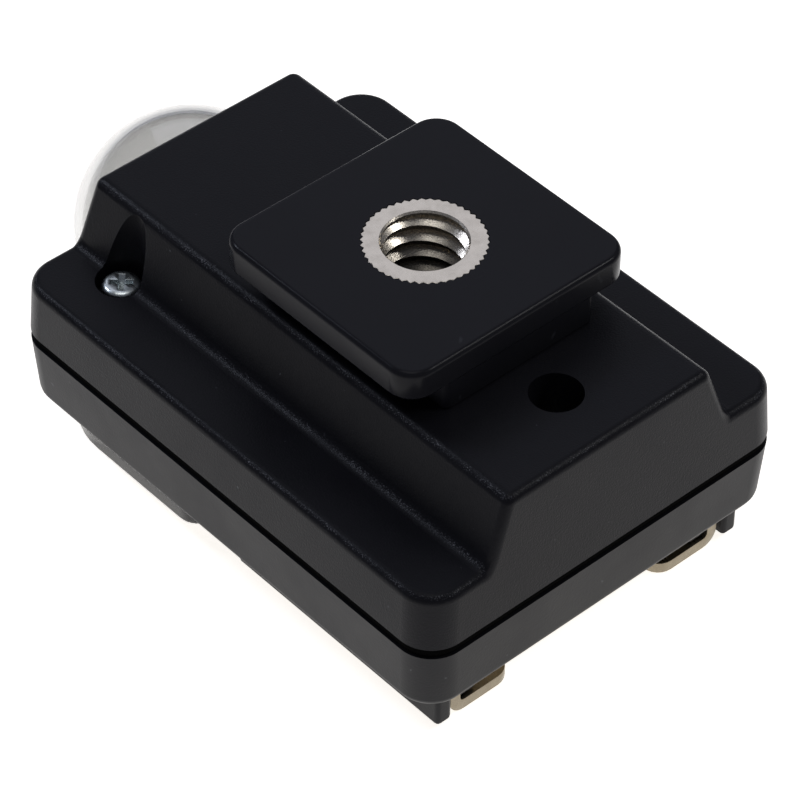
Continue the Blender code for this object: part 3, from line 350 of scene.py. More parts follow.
def carved(bm: BMesh, tools: Iterable[BMesh]) -> BMesh:
    """Take solids away from a shape that stays out of the scene.

    Args:
        bm: the shape; it is freed.
        tools: closed solids; each is used once.

    Returns:
        What is left of the shape.
    """
    item = piece(bm, "carved")
    shape(item, Cut.TAKE, tools)
    left = bmesh.new()
    left.from_mesh(item.data)
    discard(item)
    return left


def ease(item: bpy.types.Object, width: float, angle: float = 50.0) -> None:
    """Take the sharpness off an object's crisp edges, as moulding or tumbling leaves them.

    Args:
        item: the object.
        width: how wide the eased edge is.
        angle: only edges that turn by more than this many degrees are eased.
    """
    step = item.modifiers.new("ease", "BEVEL")
    step.width = width
    step.segments = 2
    step.limit_method = "ANGLE"
    step.angle_limit = math.radians(angle)
    step.use_clamp_overlap = True
    step.harden_normals = False
    apply_modifiers(item)
    shade(item.data)


# ================================================================ material tools
def linear(code: str) -> tuple[float, float, float, float]:
    """Turn an sRGB hex colour such as "#1a1b1f" into linear red, green, blue and alpha."""
    parts = [int(code[i:i + 2], 16) / 255 for i in (1, 3, 5)]
    return (*[p / 12.92 if p <= 0.04045 else ((p + 0.055) / 1.055) ** 2.4 for p in parts], 1.0)


def feed(node: bpy.types.Node, inputs: dict | tuple) -> None:
    """Set a node's inputs, or link them.

    Args:
        node: the node.
        inputs: what goes into each input, by its name or number, or for the first few in order.
            A text is a hex colour, and a node stands for its first live output.
    """
    listed = inputs if isinstance(inputs, dict) else dict(enumerate(inputs))
    for key, value in listed.items():
        if isinstance(value, bpy.types.Node):
            value = next(output for output in value.outputs if output.enabled)
        if isinstance(value, bpy.types.NodeSocket):
            node.id_data.links.new(value, node.inputs[key])
        else:
            node.inputs[key].default_value = linear(value) if isinstance(value, str) else value


def add_node(tree: bpy.types.NodeTree, kind: str, inputs: dict | tuple = (),
             **settings: object) -> bpy.types.Node:
    """Add a node, with its settings and its inputs.

    Args:
        tree: the material's node tree.
        kind: the node's type, without its ShaderNode prefix.
        inputs: what goes into it, as feed takes it.
        settings: the node's own properties.

    Returns:
        The new node.
    """
    made = tree.nodes.new("ShaderNode" + kind)
    for name, value in settings.items():
        setattr(made, name, value)
    feed(made, inputs)
    return made


def pattern(tree: bpy.types.NodeTree, grain: float, detail: float = 2.0,
            stretch: Point = (1.0, 1.0, 1.0), place: Point = ORIGIN) -> bpy.types.Node:
    """Lay an uneven pattern of a real size through a piece.

    Args:
        tree: the material's node tree.
        grain: size of the pattern's features, in metres.
        detail: how many finer layers it has.
        stretch: the pattern is finer by this much along each axis.
        place: shift of the pattern, so that two of them don't line up.

    Returns:
        The node that gives it; most of its values lie in MOST.
    """
    where = add_node(tree, "TexCoord")
    scaled = add_node(tree, "Mapping", {"Vector": where.outputs["Object"], "Scale": stretch,
                                        "Location": place})
    return add_node(tree, "TexNoise", {"Vector": scaled, "Scale": 1.0 / grain,
                                       "Detail": detail, "Roughness": 0.6})


def layered(tree: bpy.types.NodeTree, base: object,
            *layers: tuple[bpy.types.Node, str]) -> bpy.types.Node:
    """Lay colours over a base, each where its mask lets it show.

    Args:
        tree: the material's node tree.
        base: the lowest colour, as a hex code, a node or a socket.
        layers: the mask and the hex colour of each layer, the lowest first.

    Returns:
        The node that gives the colour of them all.
    """
    for mask, colour in layers:
        base = add_node(tree, "Mix", {0: mask, 6: base, 7: colour}, data_type="RGBA")
    return base


MOST = (0.3, 0.7)                        # a pattern's values, but for its rare peaks


@dataclass(frozen=True)
class Finish:
    """A finish: its own name, the slot of the record that it stands for, and its colour."""

    name: str
    slot: str
    colour: str
    roughness: float = 0.4
    specular: float = 0.5                # the shader's level; 0.5 is the usual 4 per cent

    def material(self) -> bpy.types.Material:
        """Make this finish's material when it is first asked for.

        Returns:
            The material.
        """
        made = bpy.data.materials.get(self.name)
        if made is None:
            made = bpy.data.materials.new(self.name)
            made.use_nodes = True
            shader = made.node_tree.nodes["Principled BSDF"]
            feed(shader, {"Base Color": self.colour, "Roughness": self.roughness,
                          "Specular IOR Level": self.specular})
            self.dress(made.node_tree, shader)
        return made

    def dress(self, tree: bpy.types.NodeTree, shader: bpy.types.Node) -> None:
        """Add what sets this finish apart; a plain finish adds nothing."""

    def uneven(self, tree: bpy.types.NodeTree, source: bpy.types.Node, smoother: float,
               duller: float, range_of: tuple[float, float] = MOST) -> bpy.types.Node:
        """Vary the roughness with a pattern.

        Args:
            tree: the material's node tree.
            source: the pattern.
            smoother: how far below this finish's roughness it goes.
            duller: how far above.
            range_of: the pattern's values that give the two ends.

        Returns:
            The node that gives the roughness.
        """
        return add_node(tree, "MapRange", (source, *range_of, self.roughness - smoother,
                                           self.roughness + duller))


@dataclass(frozen=True)
class MouldedPlastic(Finish):
    """Injection-moulded plastic: even colour, with the mould's texture, a little handling and, if
    given, painted highlight specks along its upper fillets.
    """

    grain: float = 0.17 * MM             # pits that spark erosion leaves in the mould
    grain_depth: float = 0.022 * MM
    bloom: str = "#15161a"               # paler cast where the surface is handled or dusty
    bloom_amount: float = 0.3
    dust: str = "#3a3b40"
    dust_size: float = 3.1               # a dust speck's size in grains
    dusty: tuple[float, float] = (0.77, 0.84)    # only the pattern's peaks are specks
    patch: float = 6.0 * MM              # size of the patches that are a little more polished
    roughness_spread: float = 0.05
    edge_highlight: str = ""                     # colour of the painted highlight specks along upper fillets, if any
    edge_highlight_amount: float = 0.6
    highlight_speck_size: float = 0.7                # a painted highlight speck's size in grains
    highlight_stretch: float = 12.0            # length in grains of stretches where the painted highlight is stronger or weaker

    def dress(self, tree: bpy.types.NodeTree, shader: bpy.types.Node) -> None:
        """Give the plastic its mould texture, its polished patches, its faint bloom and any painted
        highlight along its fillets.

        Args:
            tree: the material's node tree.
            shader: the material's surface shader.
        """
        patches = pattern(tree, self.patch, 3.0)
        specks = pattern(tree, self.dust_size * self.grain, 1.0, place=(0.013, 0.007, 0.003))
        faint = add_node(tree, "MapRange", (patches, *MOST, 0.0, self.bloom_amount))
        dusty = add_node(tree, "MapRange", (specks, *self.dusty, 0.0, 1.0))
        base = layered(tree, self.colour, (faint, self.bloom), (dusty, self.dust))
        # painted highlight: pale specks laid over the fillets along upper edges
        if self.edge_highlight:
            base = layered(tree, base, (self.fillet_highlights(tree), self.edge_highlight))
        bump = add_node(tree, "Bump", {"Height": pattern(tree, self.grain), "Strength": 1.0,
                                       "Distance": self.grain_depth})
        rough = self.uneven(tree, patches, self.roughness_spread, self.roughness_spread)
        feed(shader, {"Base Color": base, "Roughness": rough, "Normal": bump})

    def fillet_highlights(self, tree: bpy.types.NodeTree) -> bpy.types.Node:
        """Mask the fillets along upper edges, by which way they face, in specks of painted
        highlight.

        Args:
            tree: the material's node tree.

        Returns:
            The node that gives the mask.
        """
        where = add_node(tree, "TexCoord")
        facing = add_node(tree, "SeparateXYZ", (where.outputs["Normal"],)).outputs["Z"]
        specks = pattern(tree, self.highlight_speck_size * self.grain, place=(0.003, 0.011, 0.005))
        stretches = pattern(tree, self.highlight_stretch * self.grain, place=(0.021, 0.002, 0.009))
        masks = [add_node(tree, "MapRange", limits) for limits in (
            (facing, 0.62, 0.76, 0.0, 1.0),              # faces up more than a wall does
            (facing, 0.84, 0.94, 1.0, 0.0),              # and less than a top does
            (specks, 0.54, 0.7, 0.0, self.edge_highlight_amount),
            (stretches, 0.4, 0.62, 0.25, 1.0))]
        pairs = [add_node(tree, "Math", pair, operation="MULTIPLY")
                 for pair in (tuple(masks[:2]), tuple(masks[2:]))]
        return add_node(tree, "Math", tuple(pairs), operation="MULTIPLY")


@dataclass(frozen=True)
class PlatedMetal(Finish):
    """Plated or drawn metal: bright, with fine tool marks one way and patches of dull tarnish."""

    tarnish: str = "#6f675c"
    tarnish_amount: float = 0.35
    tarnish_size: float = 0.9 * MM
    tarnished: tuple[float, float] = (0.42, 0.72)    # from where the pattern starts to show
    mark: float = 0.12 * MM              # spacing of the tool marks, drawn as coarse as they show
    mark_depth: float = 0.004 * MM
    mark_gloss: tuple[float, float] = (0.07, 0.12)   # smoother on a mark's crest, duller in it
    stretch: Point = (0.15, 1.0, 1.0)    # marks run along X

    def dress(self, tree: bpy.types.NodeTree, shader: bpy.types.Node) -> None:
        """Make it metal, with tool marks in its gloss and its surface and tarnish in its colour.

        Args:
            tree: the material's node tree.
            shader: the material's surface shader.
        """
        marks = pattern(tree, self.mark, 3.0, self.stretch)
        dull = add_node(tree, "MapRange", (pattern(tree, self.tarnish_size, 4.0),
                                           *self.tarnished, 0.0, self.tarnish_amount))
        bump = add_node(tree, "Bump", {"Height": marks, "Strength": 1.0,
                                       "Distance": self.mark_depth})
        feed(shader, {"Metallic": 1.0, "Roughness": self.uneven(tree, marks, *self.mark_gloss),
                      "Base Color": layered(tree, self.colour, (dull, self.tarnish)),
                      "Normal": bump})


@dataclass(frozen=True)
class BoredMetal(PlatedMetal):
    """Plated metal whose bore has painted shade, darker the further down it goes."""

    # painted shade down the bore, standing for the shade that falls in the hole
    bore_shade: str = "#2b2722"
    bore_shade_amount: float = 0.95
    unshaded_depth: float = 0.9 * MM        # below the top, where the painted shade starts
    fully_shaded_depth: float = 5.5 * MM
    node: str = "threaded_insert"

    def dress(self, tree: bpy.types.NodeTree, shader: bpy.types.Node) -> None:
        """Lay painted shade over the plating, thinning out towards the top of the bore.

        Args:
            tree: the material's node tree.
            shader: the material's surface shader.
        """
        super().dress(tree, shader)
        plated = shader.inputs["Base Color"].links[0].from_socket
        where = add_node(tree, "TexCoord")
        parts = add_node(tree, "SeparateXYZ", (where.outputs["Object"],))
        top = Span.of(self.node).high.z
        # painted shade: darker the deeper down the bore
        deep = add_node(tree, "MapRange", (parts.outputs["Z"], top - self.fully_shaded_depth,
                                           top - self.unshaded_depth, self.bore_shade_amount, 0.0))
        feed(shader, {"Base Color": layered(tree, plated, (deep, self.bore_shade))})


@dataclass(frozen=True)
class ClearPlastic(Finish):
    """Clear or tinted plastic: light goes through it, over a faint ripple from the mould."""

    ior: float = 1.49                    # acrylic
    ripple: float = 2.5 * MM
    ripple_depth: float = 0.006 * MM
    rub: float = 0.5 * MM                # width of the dull rub marks, which run along X
    rub_dullness: float = 0.09

    def dress(self, tree: bpy.types.NodeTree, shader: bpy.types.Node) -> None:
        """Make it transmit, with a rippled surface and a few dull rub marks.

        Args:
            tree: the material's node tree.
            shader: the material's surface shader.
        """
        rubs = pattern(tree, self.rub, 3.0, (0.2, 1.0, 1.0))
        bump = add_node(tree, "Bump", {"Height": pattern(tree, self.ripple), "Strength": 1.0,
                                       "Distance": self.ripple_depth})
        feed(shader, {"Transmission Weight": 1.0, "IOR": self.ior, "Normal": bump,
                      "Roughness": self.uneven(tree, rubs, 0.0, self.rub_dullness, (0.6, 0.8))})


@dataclass(frozen=True)
class Banded(Finish):
    """Coated part with bands across its length, such as a resistor's colour code."""

    bands: tuple[tuple[float, str], ...] = ()    # where each band starts, 0 to 1, and its colour
    node: str = ""                               # the part whose length the bands divide
    axis: int = 0
    coat: float = 0.6 * MM                       # size of the coat's unevenness
    coat_gloss: float = 0.08

    def dress(self, tree: bpy.types.NodeTree, shader: bpy.types.Node) -> None:
        """Paint the bands, with hard edges, over a coat that is faintly uneven.

        Args:
            tree: the material's node tree.
            shader: the material's surface shader.
        """
        span = Span.of(self.node)
        where = add_node(tree, "TexCoord")
        parts = add_node(tree, "SeparateXYZ", (where.outputs["Object"],))
        along = add_node(tree, "MapRange", (parts.outputs[self.axis], span.low[self.axis],
                                            span.high[self.axis], 0.0, 1.0))
        ramp = add_node(tree, "ValToRGB", (along,))
        stops = ramp.color_ramp
        stops.interpolation = "CONSTANT"
        stops.elements[1].position = self.bands[0][0]
        stops.elements[0].color = linear(self.colour)
        stops.elements[1].color = linear(self.bands[0][1])
        for start, colour in self.bands[1:]:
            stops.elements.new(start).color = linear(colour)
        rough = self.uneven(tree, pattern(tree, self.coat), self.coat_gloss, self.coat_gloss)
        feed(shader, {"Base Color": ramp, "Roughness": rough})


@dataclass(frozen=True)
class CircuitBoard(Finish):
    """Glass-cloth laminate under green solder resist, with copper tracks showing through."""

    track: str = "#2f7a3a"
    cell: float = 2.54 * MM              # grid that the tracks are laid out on
    track_width: float = 0.5 * MM
    track_height: float = 0.03 * MM
    weave: float = 0.25 * MM
    fibre: str = "#1d4f2a"

    def dress(self, tree: bpy.types.NodeTree, shader: bpy.types.Node) -> None:
        """Lay the tracks on a grid, a little proud, over the faint weave of the laminate.

        Args:
            tree: the material's node tree.
            shader: the material's surface shader.
        """
        where = add_node(tree, "TexCoord")
        tracks = add_node(tree, "TexBrick", {"Vector": where.outputs["Object"],
                                             "Scale": 1.0 / self.cell, "Brick Width": 2.0,
                                             "Row Height": 1.0,
                                             "Mortar Size": self.track_width / self.cell / 2,
                                             "Mortar Smooth": 0.1}, offset=0.5).outputs["Fac"]
        weave = add_node(tree, "MapRange", (pattern(tree, self.weave, 1.0), *MOST, 0.0, 0.3))
        bump = add_node(tree, "Bump", {"Height": tracks, "Strength": 0.6,
                                       "Distance": self.track_height})
        feed(shader, {"Base Color": layered(tree, self.colour, (weave, self.fibre),
                                            (tracks, self.track)), "Normal": bump})


@dataclass(frozen=True)
class LitLaminate(Finish):
    """White laminate over a light, which glows round the unit and fades away from it."""

    paler: str = "#fafafa"
    grain: float = 4.0 * MM
    glow: float = 0.92
    far_glow: float = 0.1
    glow_colour: str = "#fffbf5"
    glow_edge: float = 55.0 * MM         # distance at which the glow starts to fade
    glow_end: float = 2.5                # where it has faded, in lengths of that distance

    def dress(self, tree: bpy.types.NodeTree, shader: bpy.types.Node) -> None:
        """Light it from below round the origin, over a faintly uneven white.

        Args:
            tree: the material's node tree.
            shader: the material's surface shader.
        """
        where = add_node(tree, "TexCoord")
        away = add_node(tree, "VectorMath", (where.outputs["Object"],), operation="LENGTH")
        glow = add_node(tree, "MapRange", (away.outputs["Value"], self.glow_edge,
                                           self.glow_end * self.glow_edge, self.glow,
                                           self.far_glow))
        faint = add_node(tree, "MapRange", (pattern(tree, self.grain, 3.0), *MOST, 0.0, 1.0))
        feed(shader, {"Emission Color": self.glow_colour, "Emission Strength": glow,
                      "Base Color": layered(tree, self.colour, (faint, self.paler))})


# ================================================================ the unit's finishes
# ABS, moulded black in a spark-eroded mould: a low sheen, with sparkle along the fillets from its
# grain and from pale painted highlight specks.
COVER = MouldedPlastic("moulded_abs_cover", "moulded_shell", "#17171b", 0.34, specular=0.09,
                       bloom="#1d1d22", grain=0.13 * MM, grain_depth=0.02 * MM,
                       edge_highlight="#8b8c94")
# The same plastic in a plainer part of the mould, a little glossier.
HOUSING = MouldedPlastic("moulded_abs_housing", "moulded_shell", "#131317", 0.4, specular=0.15,
                         bloom="#1b1b20", grain_depth=0.01 * MM)
# ABS from a polished mould: as dark, and glossier than the shells, with faint waves.
FOOT = MouldedPlastic("polished_abs_foot", "foot_plastic", "#1d1d21", 0.24, specular=0.08,
                      grain=0.5 * MM, grain_depth=0.004 * MM, bloom="#232328", patch=9.0 * MM)
# Extruded rubber: dull and the darkest thing on the unit; its near-black colour is partly the
# rubber's own and partly painted shade for the seam's groove.
RUBBER_AND_SEAM_SHADE = MouldedPlastic("rubber_band_and_painted_seam_shade", "gasket_rubber", "#040404", 0.9, specular=0.02,
                        grain_depth=0.006 * MM, bloom="#060606", dust="#161617")
# Filled nylon: dark grey, with a dry surface.
LINER = MouldedPlastic("filled_nylon_liner", "liner_plastic", "#111113", 0.5, bloom="#1d1d20")
# Nickel plate on brass and on steel: warm white metal, which dulls in patches.
NICKEL = PlatedMetal("nickel_plate", "nickel", "#948b7a", 0.3, tarnish="#746a5b")
# The sleeve's nickel gets painted shade down its bore, darker the deeper it goes.
SLEEVE_NICKEL = BoredMetal("turned_nickel_sleeve", "nickel", "#e6ddcf", 0.27,
                           tarnish="#a59d90", tarnish_amount=0.3, mark=0.1 * MM,
                           mark_depth=0.005 * MM, stretch=(0.5, 0.5, 3.0))
# Zinc plate: bluish, with a chalky bloom in patches.
ZINC = PlatedMetal("zinc_plate", "zinc", "#dde4e5", 0.27, tarnish="#9aa3a4", mark=0.2 * MM)
# Spring steel and brass, as drawn or turned.
STEEL = PlatedMetal("spring_steel_strip", "spring_steel", "#a9a9a6", 0.3, tarnish="#77736c")
BRASS = PlatedMetal("turned_brass", "contact_brass", "#d9b468", 0.22, tarnish="#9b7434",
                    stretch=(1.0, 1.0, 3.0))
TINNED = PlatedMetal("tinned_copper_wire", "tinned_wire", "#c9c9c6", 0.3, tarnish="#97938b")
# Acrylic: clear as glass, with moulding ripple.
CLEAR = ClearPlastic("clear_acrylic", "clear_moulding", "#c8c8c7", 0.03)
SMOKE = ClearPlastic("smoked_epoxy_lens", "smoked_lens", "#3b3040", 0.05, ior=1.54)
AMBER = ClearPlastic("amber_epoxy_lens", "amber_lens", "#ff9a2e", 0.08, ior=1.54)
BOARD = CircuitBoard("green_glass_board", "circuit_board", "#123d1e", 0.36)
SLEEVE = Banded("printed_can_sleeve", "capacitor_sleeve", "#101a3c", 0.35,
                bands=((0.12, "#a9b2bd"), (0.26, "#101a3c")), node="storage_capacitor", axis=1)
EPOXY = MouldedPlastic("moulded_epoxy", "epoxy", "#1b1b1c", 0.5)
FILM = MouldedPlastic("dipped_film_capacitor", "film_red", "#8f2a1e", 0.28, grain=0.6 * MM,
                      bloom="#a5402f", patch=2.0 * MM)
RED_WIRE = MouldedPlastic("red_pvc_insulation", "red_insulation", "#a01515", 0.42,
                          bloom="#b53030", patch=1.5 * MM)
BLACK_WIRE = MouldedPlastic("black_pvc_insulation", "black_insulation", "#121213", 0.42)
TABLE_TOP = LitLaminate("white_laminate", "", "#f4f4f4", 0.7, specular=0.2)


def resistor_finish(number: int, code: Sequence[str]) -> Banded:
    """Coat of one resistor.

    Args:
        number: which resistor it is.
        code: colours of its bands, in order.

    Returns:
        Its finish, with a band for each colour and bare coat between them.
    """
    coat, lead, first_band, band, step = "#c8a67a", "#b9b9b6", 0.27, 0.06, 0.12
    bands = [(0.20, coat)]
    for colour in code:
        bands += [(first_band, colour), (first_band + band, coat)]
        first_band += step
    bands.append((0.81, lead))
    return Banded(f"coated_resistor_{number}", "resistor_body", lead, 0.42,
                  bands=tuple(bands), node=f"resistor_{number}")


def fit_out(item: bpy.types.Object, finish: Finish, nodes: Sequence[str],
            body: Body = Body.CASING) -> None:
    """Dress a finished piece and put it on its body.

    Args:
        item: the piece.
        finish: what it is made of.
        nodes: the nodes of the frame that it stands for.
        body: what it moves with.
    """
    flatten(item)
    item.data.materials.clear()
    item.data.materials.append(finish.material())
    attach(item, body.value)
    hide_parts(*nodes)
    log.info("%s: %d faces, stands for %s", item.name, len(item.data.polygons), ", ".join(nodes))


def front_face() -> float:
    """Return the level of the casing's front face, which the shoe's base stands proud of."""
    sheet, base_proud = 0.85 * MM, 0.25 * MM
    return Span.of("shoe_frame").high.z - sheet + base_proud


# ================================================================ sub-assemblies
@dataclass
class Casing:
    """Both shells and the band between them."""

    corner: float = 2.5 * MM
    draft: float = 0.055
    wall: float = 1.4 * MM
    ledge_below_block: float = 4.8 * MM
    block_base: float = 20.4 * MM
    block_top: float = 16.9 * MM
    edge: float = 0.62 * MM              # fillet along the rear cover's edges
    front_edge: float = 0.75 * MM
    floor: float = 2.0 * MM
    boss: float = 2.8 * MM
    pilot: float = 1.05 * MM
    gap: float = 0.12 * MM
    side_access: float = 1.72 * MM       # scallop over each side screw
    end_access: float = 1.75 * MM        # deep hole over the end screw
    guard_thickness: float = 1.25 * MM
    guard_drop: float = 3.0 * MM
    guard_reach: float = 0.4 * MM        # past the shoe's mouth
    crisp: float = 17.0                  # degrees; less than the turn from a wall to its scallop
    band_recess: float = 0.15 * MM       # band's face inside the shells' rims
    band_depth: float = 1.1 * MM
    band_edge: float = 0.1 * MM
    corner_steps: int = 14
    hollow_steps: int = 10
    pilot_low: float = 7.0 * MM          # where the screws' pilot holes start
    guard_gap: float = 0.2 * MM          # between the shoe and each guard
    guard_edge: float = 0.35 * MM
    front: Span = field(default_factory=lambda: Span.of("front_housing"))
    cover: Span = field(default_factory=lambda: Span.of("rear_cover"))
    band: Span = field(default_factory=lambda: Span.of("seam_gasket"))

    def __post_init__(self) -> None:
        """Work out the levels and places that the sizes give."""
        self.block_z = self.cover.high.z
        self.ledge_z = self.block_z - self.ledge_below_block
        self.front_z = front_face()
        self.screws = {name: Span.of(name) for name in CASE_SCREWS}

    def tray(self, low: Sequence[float], high: Sequence[float], radius: float,
             rim_z: float, steps: int) -> BMesh:
        """Make a rounded block whose walls lean inwards away from its rim.

        Args:
            low: lowest corner before the lean.
            high: highest corner before the lean.
            radius: plan radius of its corners.
            rim_z: level at which it has its full size.
            steps: faces across each corner.

        Returns:
            A closed bmesh.
        """
        bm = block(low, high)
        middle = (Vector(low) + Vector(high)) / 2
        for vert in bm.verts:
            lean = self.draft * abs(vert.co.z - rim_z)
            vert.co.x -= math.copysign(lean, vert.co.x - middle.x)
            vert.co.y -= math.copysign(lean, vert.co.y - middle.y)
        round_off(bm, uprights(bm), radius, steps)
        return bm

    def cover_form(self, inset: float, low_z: float, edge: float) -> BMesh:
        """Make the rear cover's form: the ledge, and the raised block down its middle.

        Args:
            inset: how far inside the outer form it lies, for the hollow.
            low_z: level of its lower face.
            edge: fillet along its upper edges, or 0.

        Returns:
            A closed bmesh.
        """
        low = self.cover.low + Vector((inset, inset, 0.0))
        high = self.cover.high - Vector((inset, inset, 0.0))
        ledge_z, block_z = self.ledge_z - inset, self.block_z - inset
        bm = self.tray((low.x, low.y, low_z), (high.x, high.y, ledge_z), self.corner - inset,
                       self.cover.low.z, self.corner_steps)
        half_base, half_top = self.block_base / 2 - inset, self.block_top / 2 - inset
        for side in (-1, 1):
            bmesh.ops.bisect_plane(bm, geom=bm.verts[:] + bm.edges[:] + bm.faces[:],
                                   plane_co=(0.0, side * half_base, 0.0),
                                   plane_no=(0.0, 1.0, 0.0))
        middle = [face for face in bm.faces if face.normal.z > 0.9
                  and abs(face.calc_center_median().y) < half_base / 2]
        raised = bmesh.ops.extrude_face_region(bm, geom=middle)["geom"]
        bmesh.ops.delete(bm, geom=middle, context="FACES")
        for vert in (part for part in raised if isinstance(part, BMVert)):
            vert.co.x -= math.copysign(self.draft * (block_z - ledge_z),
                                       vert.co.x - self.cover.middle.x)
            vert.co.y = math.copysign(half_top, vert.co.y)
            vert.co.z = block_z
        bmesh.ops.dissolve_limit(bm, angle_limit=math.radians(0.5), verts=bm.verts,
                                 edges=bm.edges)
        if edge:
            round_off(bm, edges_where(bm, lambda co: co.z > ledge_z - edge / 4), edge, 6)
        return bm

    def posts(self, low_z: float, high_z: float, radius: float) -> list[BMesh]:
        """Make an upright cylinder round each case screw's axis."""
        return [drum(radius, low_z, high_z, span.middle) for span in self.screws.values()]

    def make_cover(self) -> bpy.types.Object:
        """Build the rear cover: hollow, with bosses, screw holes and the foot's seat.

        Returns:
            The piece's object.
        """
        item = piece(self.cover_form(0.0, self.cover.low.z, self.edge), "cover_shell")
        below, above = self.cover.low.z - self.wall, self.block_z + self.wall
        under_block = self.block_z - 2 * self.wall
        tools = [carved(self.cover_form(self.wall, below, 0.0),
                        self.posts(self.cover.low.z, above, self.boss))]
        for name, span in self.screws.items():
            access = self.end_access if name.endswith("end") else self.side_access
            seat = span.high.z - HEAD_HEIGHT
            tools += [drum(access, seat - self.gap, above, span.middle, FINE_TURN),
                      drum(SHANK + self.gap, below, seat, span.middle)]
        sleeve = Span.of("threaded_insert")
        tools.append(drum(sleeve.size.x / 2 + self.gap, under_block, above, sleeve.middle))
        tools += [drum(SHANK + self.gap, under_block, above, Span.of(node).middle)
                  for node in FOOT_SCREWS]
        eye = turn_about(drum(SENSOR_RADIUS + self.gap, -2 * self.wall, 2 * self.wall), 90.0, "Y")
        tools.append(move(eye, (self.cover.low.x, 0.0, Span.of("photo_sensor").middle.z)))
        shape(item, Cut.TAKE, tools, self.crisp)
        return item

    def guard(self, side: int) -> BMesh:
        """Make one of the walls that stand outside the shoe.

        Args:
            side: -1 or 1, along Y.

        Returns:
            A closed bmesh.
        """
        shoe = Span.of("shoe_frame")
        near = shoe.high.y + self.guard_gap
        low_y, high_y = sorted((side * near, side * (near + self.guard_thickness)))
        low_z = self.front_z - self.guard_drop
        bm = block((shoe.low.x, low_y, low_z),
                   (shoe.high.x + self.guard_reach, high_y, self.front_z + self.floor / 2))
        round_off(bm, uprights(bm) + edges_near(bm, low_z), self.guard_edge, 4)
        return bm

    def make_front(self) -> bpy.types.Object:
        """Build the front housing: a tray with the shoe's pocket and its two guard walls.

        Returns:
            The piece's object.
        """
        low, high = self.front.low, self.front.high
        bm = self.tray((low.x, low.y, self.front_z), high, self.corner, high.z,
                       self.corner_steps)
        round_off(bm, edges_near(bm, self.front_z), self.front_edge, 5)
        item = piece(bm, "front_shell")
        thin = Vector((self.wall, self.wall, 0.0))
        hollow = self.tray((*(low + thin).xy, self.front_z + self.floor),
                           (*(high - thin).xy, high.z + self.wall),
                           self.corner - self.wall, high.z, self.hollow_steps)
        posts = self.posts(self.front_z, high.z + 2 * self.wall, self.boss)
        shape(item, Cut.TAKE, [carved(hollow, posts)])
        shape(item, Cut.JOIN, [self.guard(-1), self.guard(1)])
        shoe, lamp = Span.of("shoe_frame"), Span.of("indicator_lamp")
        reach = Vector((self.gap, self.gap, self.gap))
        below, above = self.front_z - MM, self.front_z + self.floor + MM
        tools = self.posts(self.pilot_low, high.z + self.wall, self.pilot)
        tools += [block((*(shoe.low - reach).xy, below), shoe.high + reach),
                  drum(RING_NECK + self.gap, below, above, Span.of("contact_insulator").middle),
                  drum(lamp.size.x / 2 + self.gap, below, above, lamp.middle)]
        shape(item, Cut.TAKE, tools)
        return item

    def make_band(self) -> bpy.types.Object:
        """Build the rubber band in the seam, with a rounded outer edge.

        Returns:
            The piece's object.
        """
        low, high = self.band.low, self.band.high
        corner = self.corner - self.band_recess
        bm = block(low, high)
        round_off(bm, uprights(bm), corner, self.corner_steps)
        round_off(bm, edges_near(bm, low.z, MERGE) + edges_near(bm, high.z, MERGE),
                  self.band_edge, 3)
        item = piece(bm, "seam_band")
        inwards = Vector((self.band_depth, self.band_depth, -MM))
        inner = block(low + inwards, high - inwards)
        round_off(inner, uprights(inner), corner - self.band_depth, self.hollow_steps)
        shape(item, Cut.TAKE, [inner])
        return item

    def build(self) -> None:
        """Make the casing's pieces and dress them."""
        fit_out(self.make_cover(), COVER, ["rear_cover"])
        fit_out(self.make_front(), HOUSING, ["front_housing"])
        # the band's near-black finish is partly painted shade for the seam's groove
        fit_out(self.make_band(), RUBBER_AND_SEAM_SHADE, ["seam_gasket"])


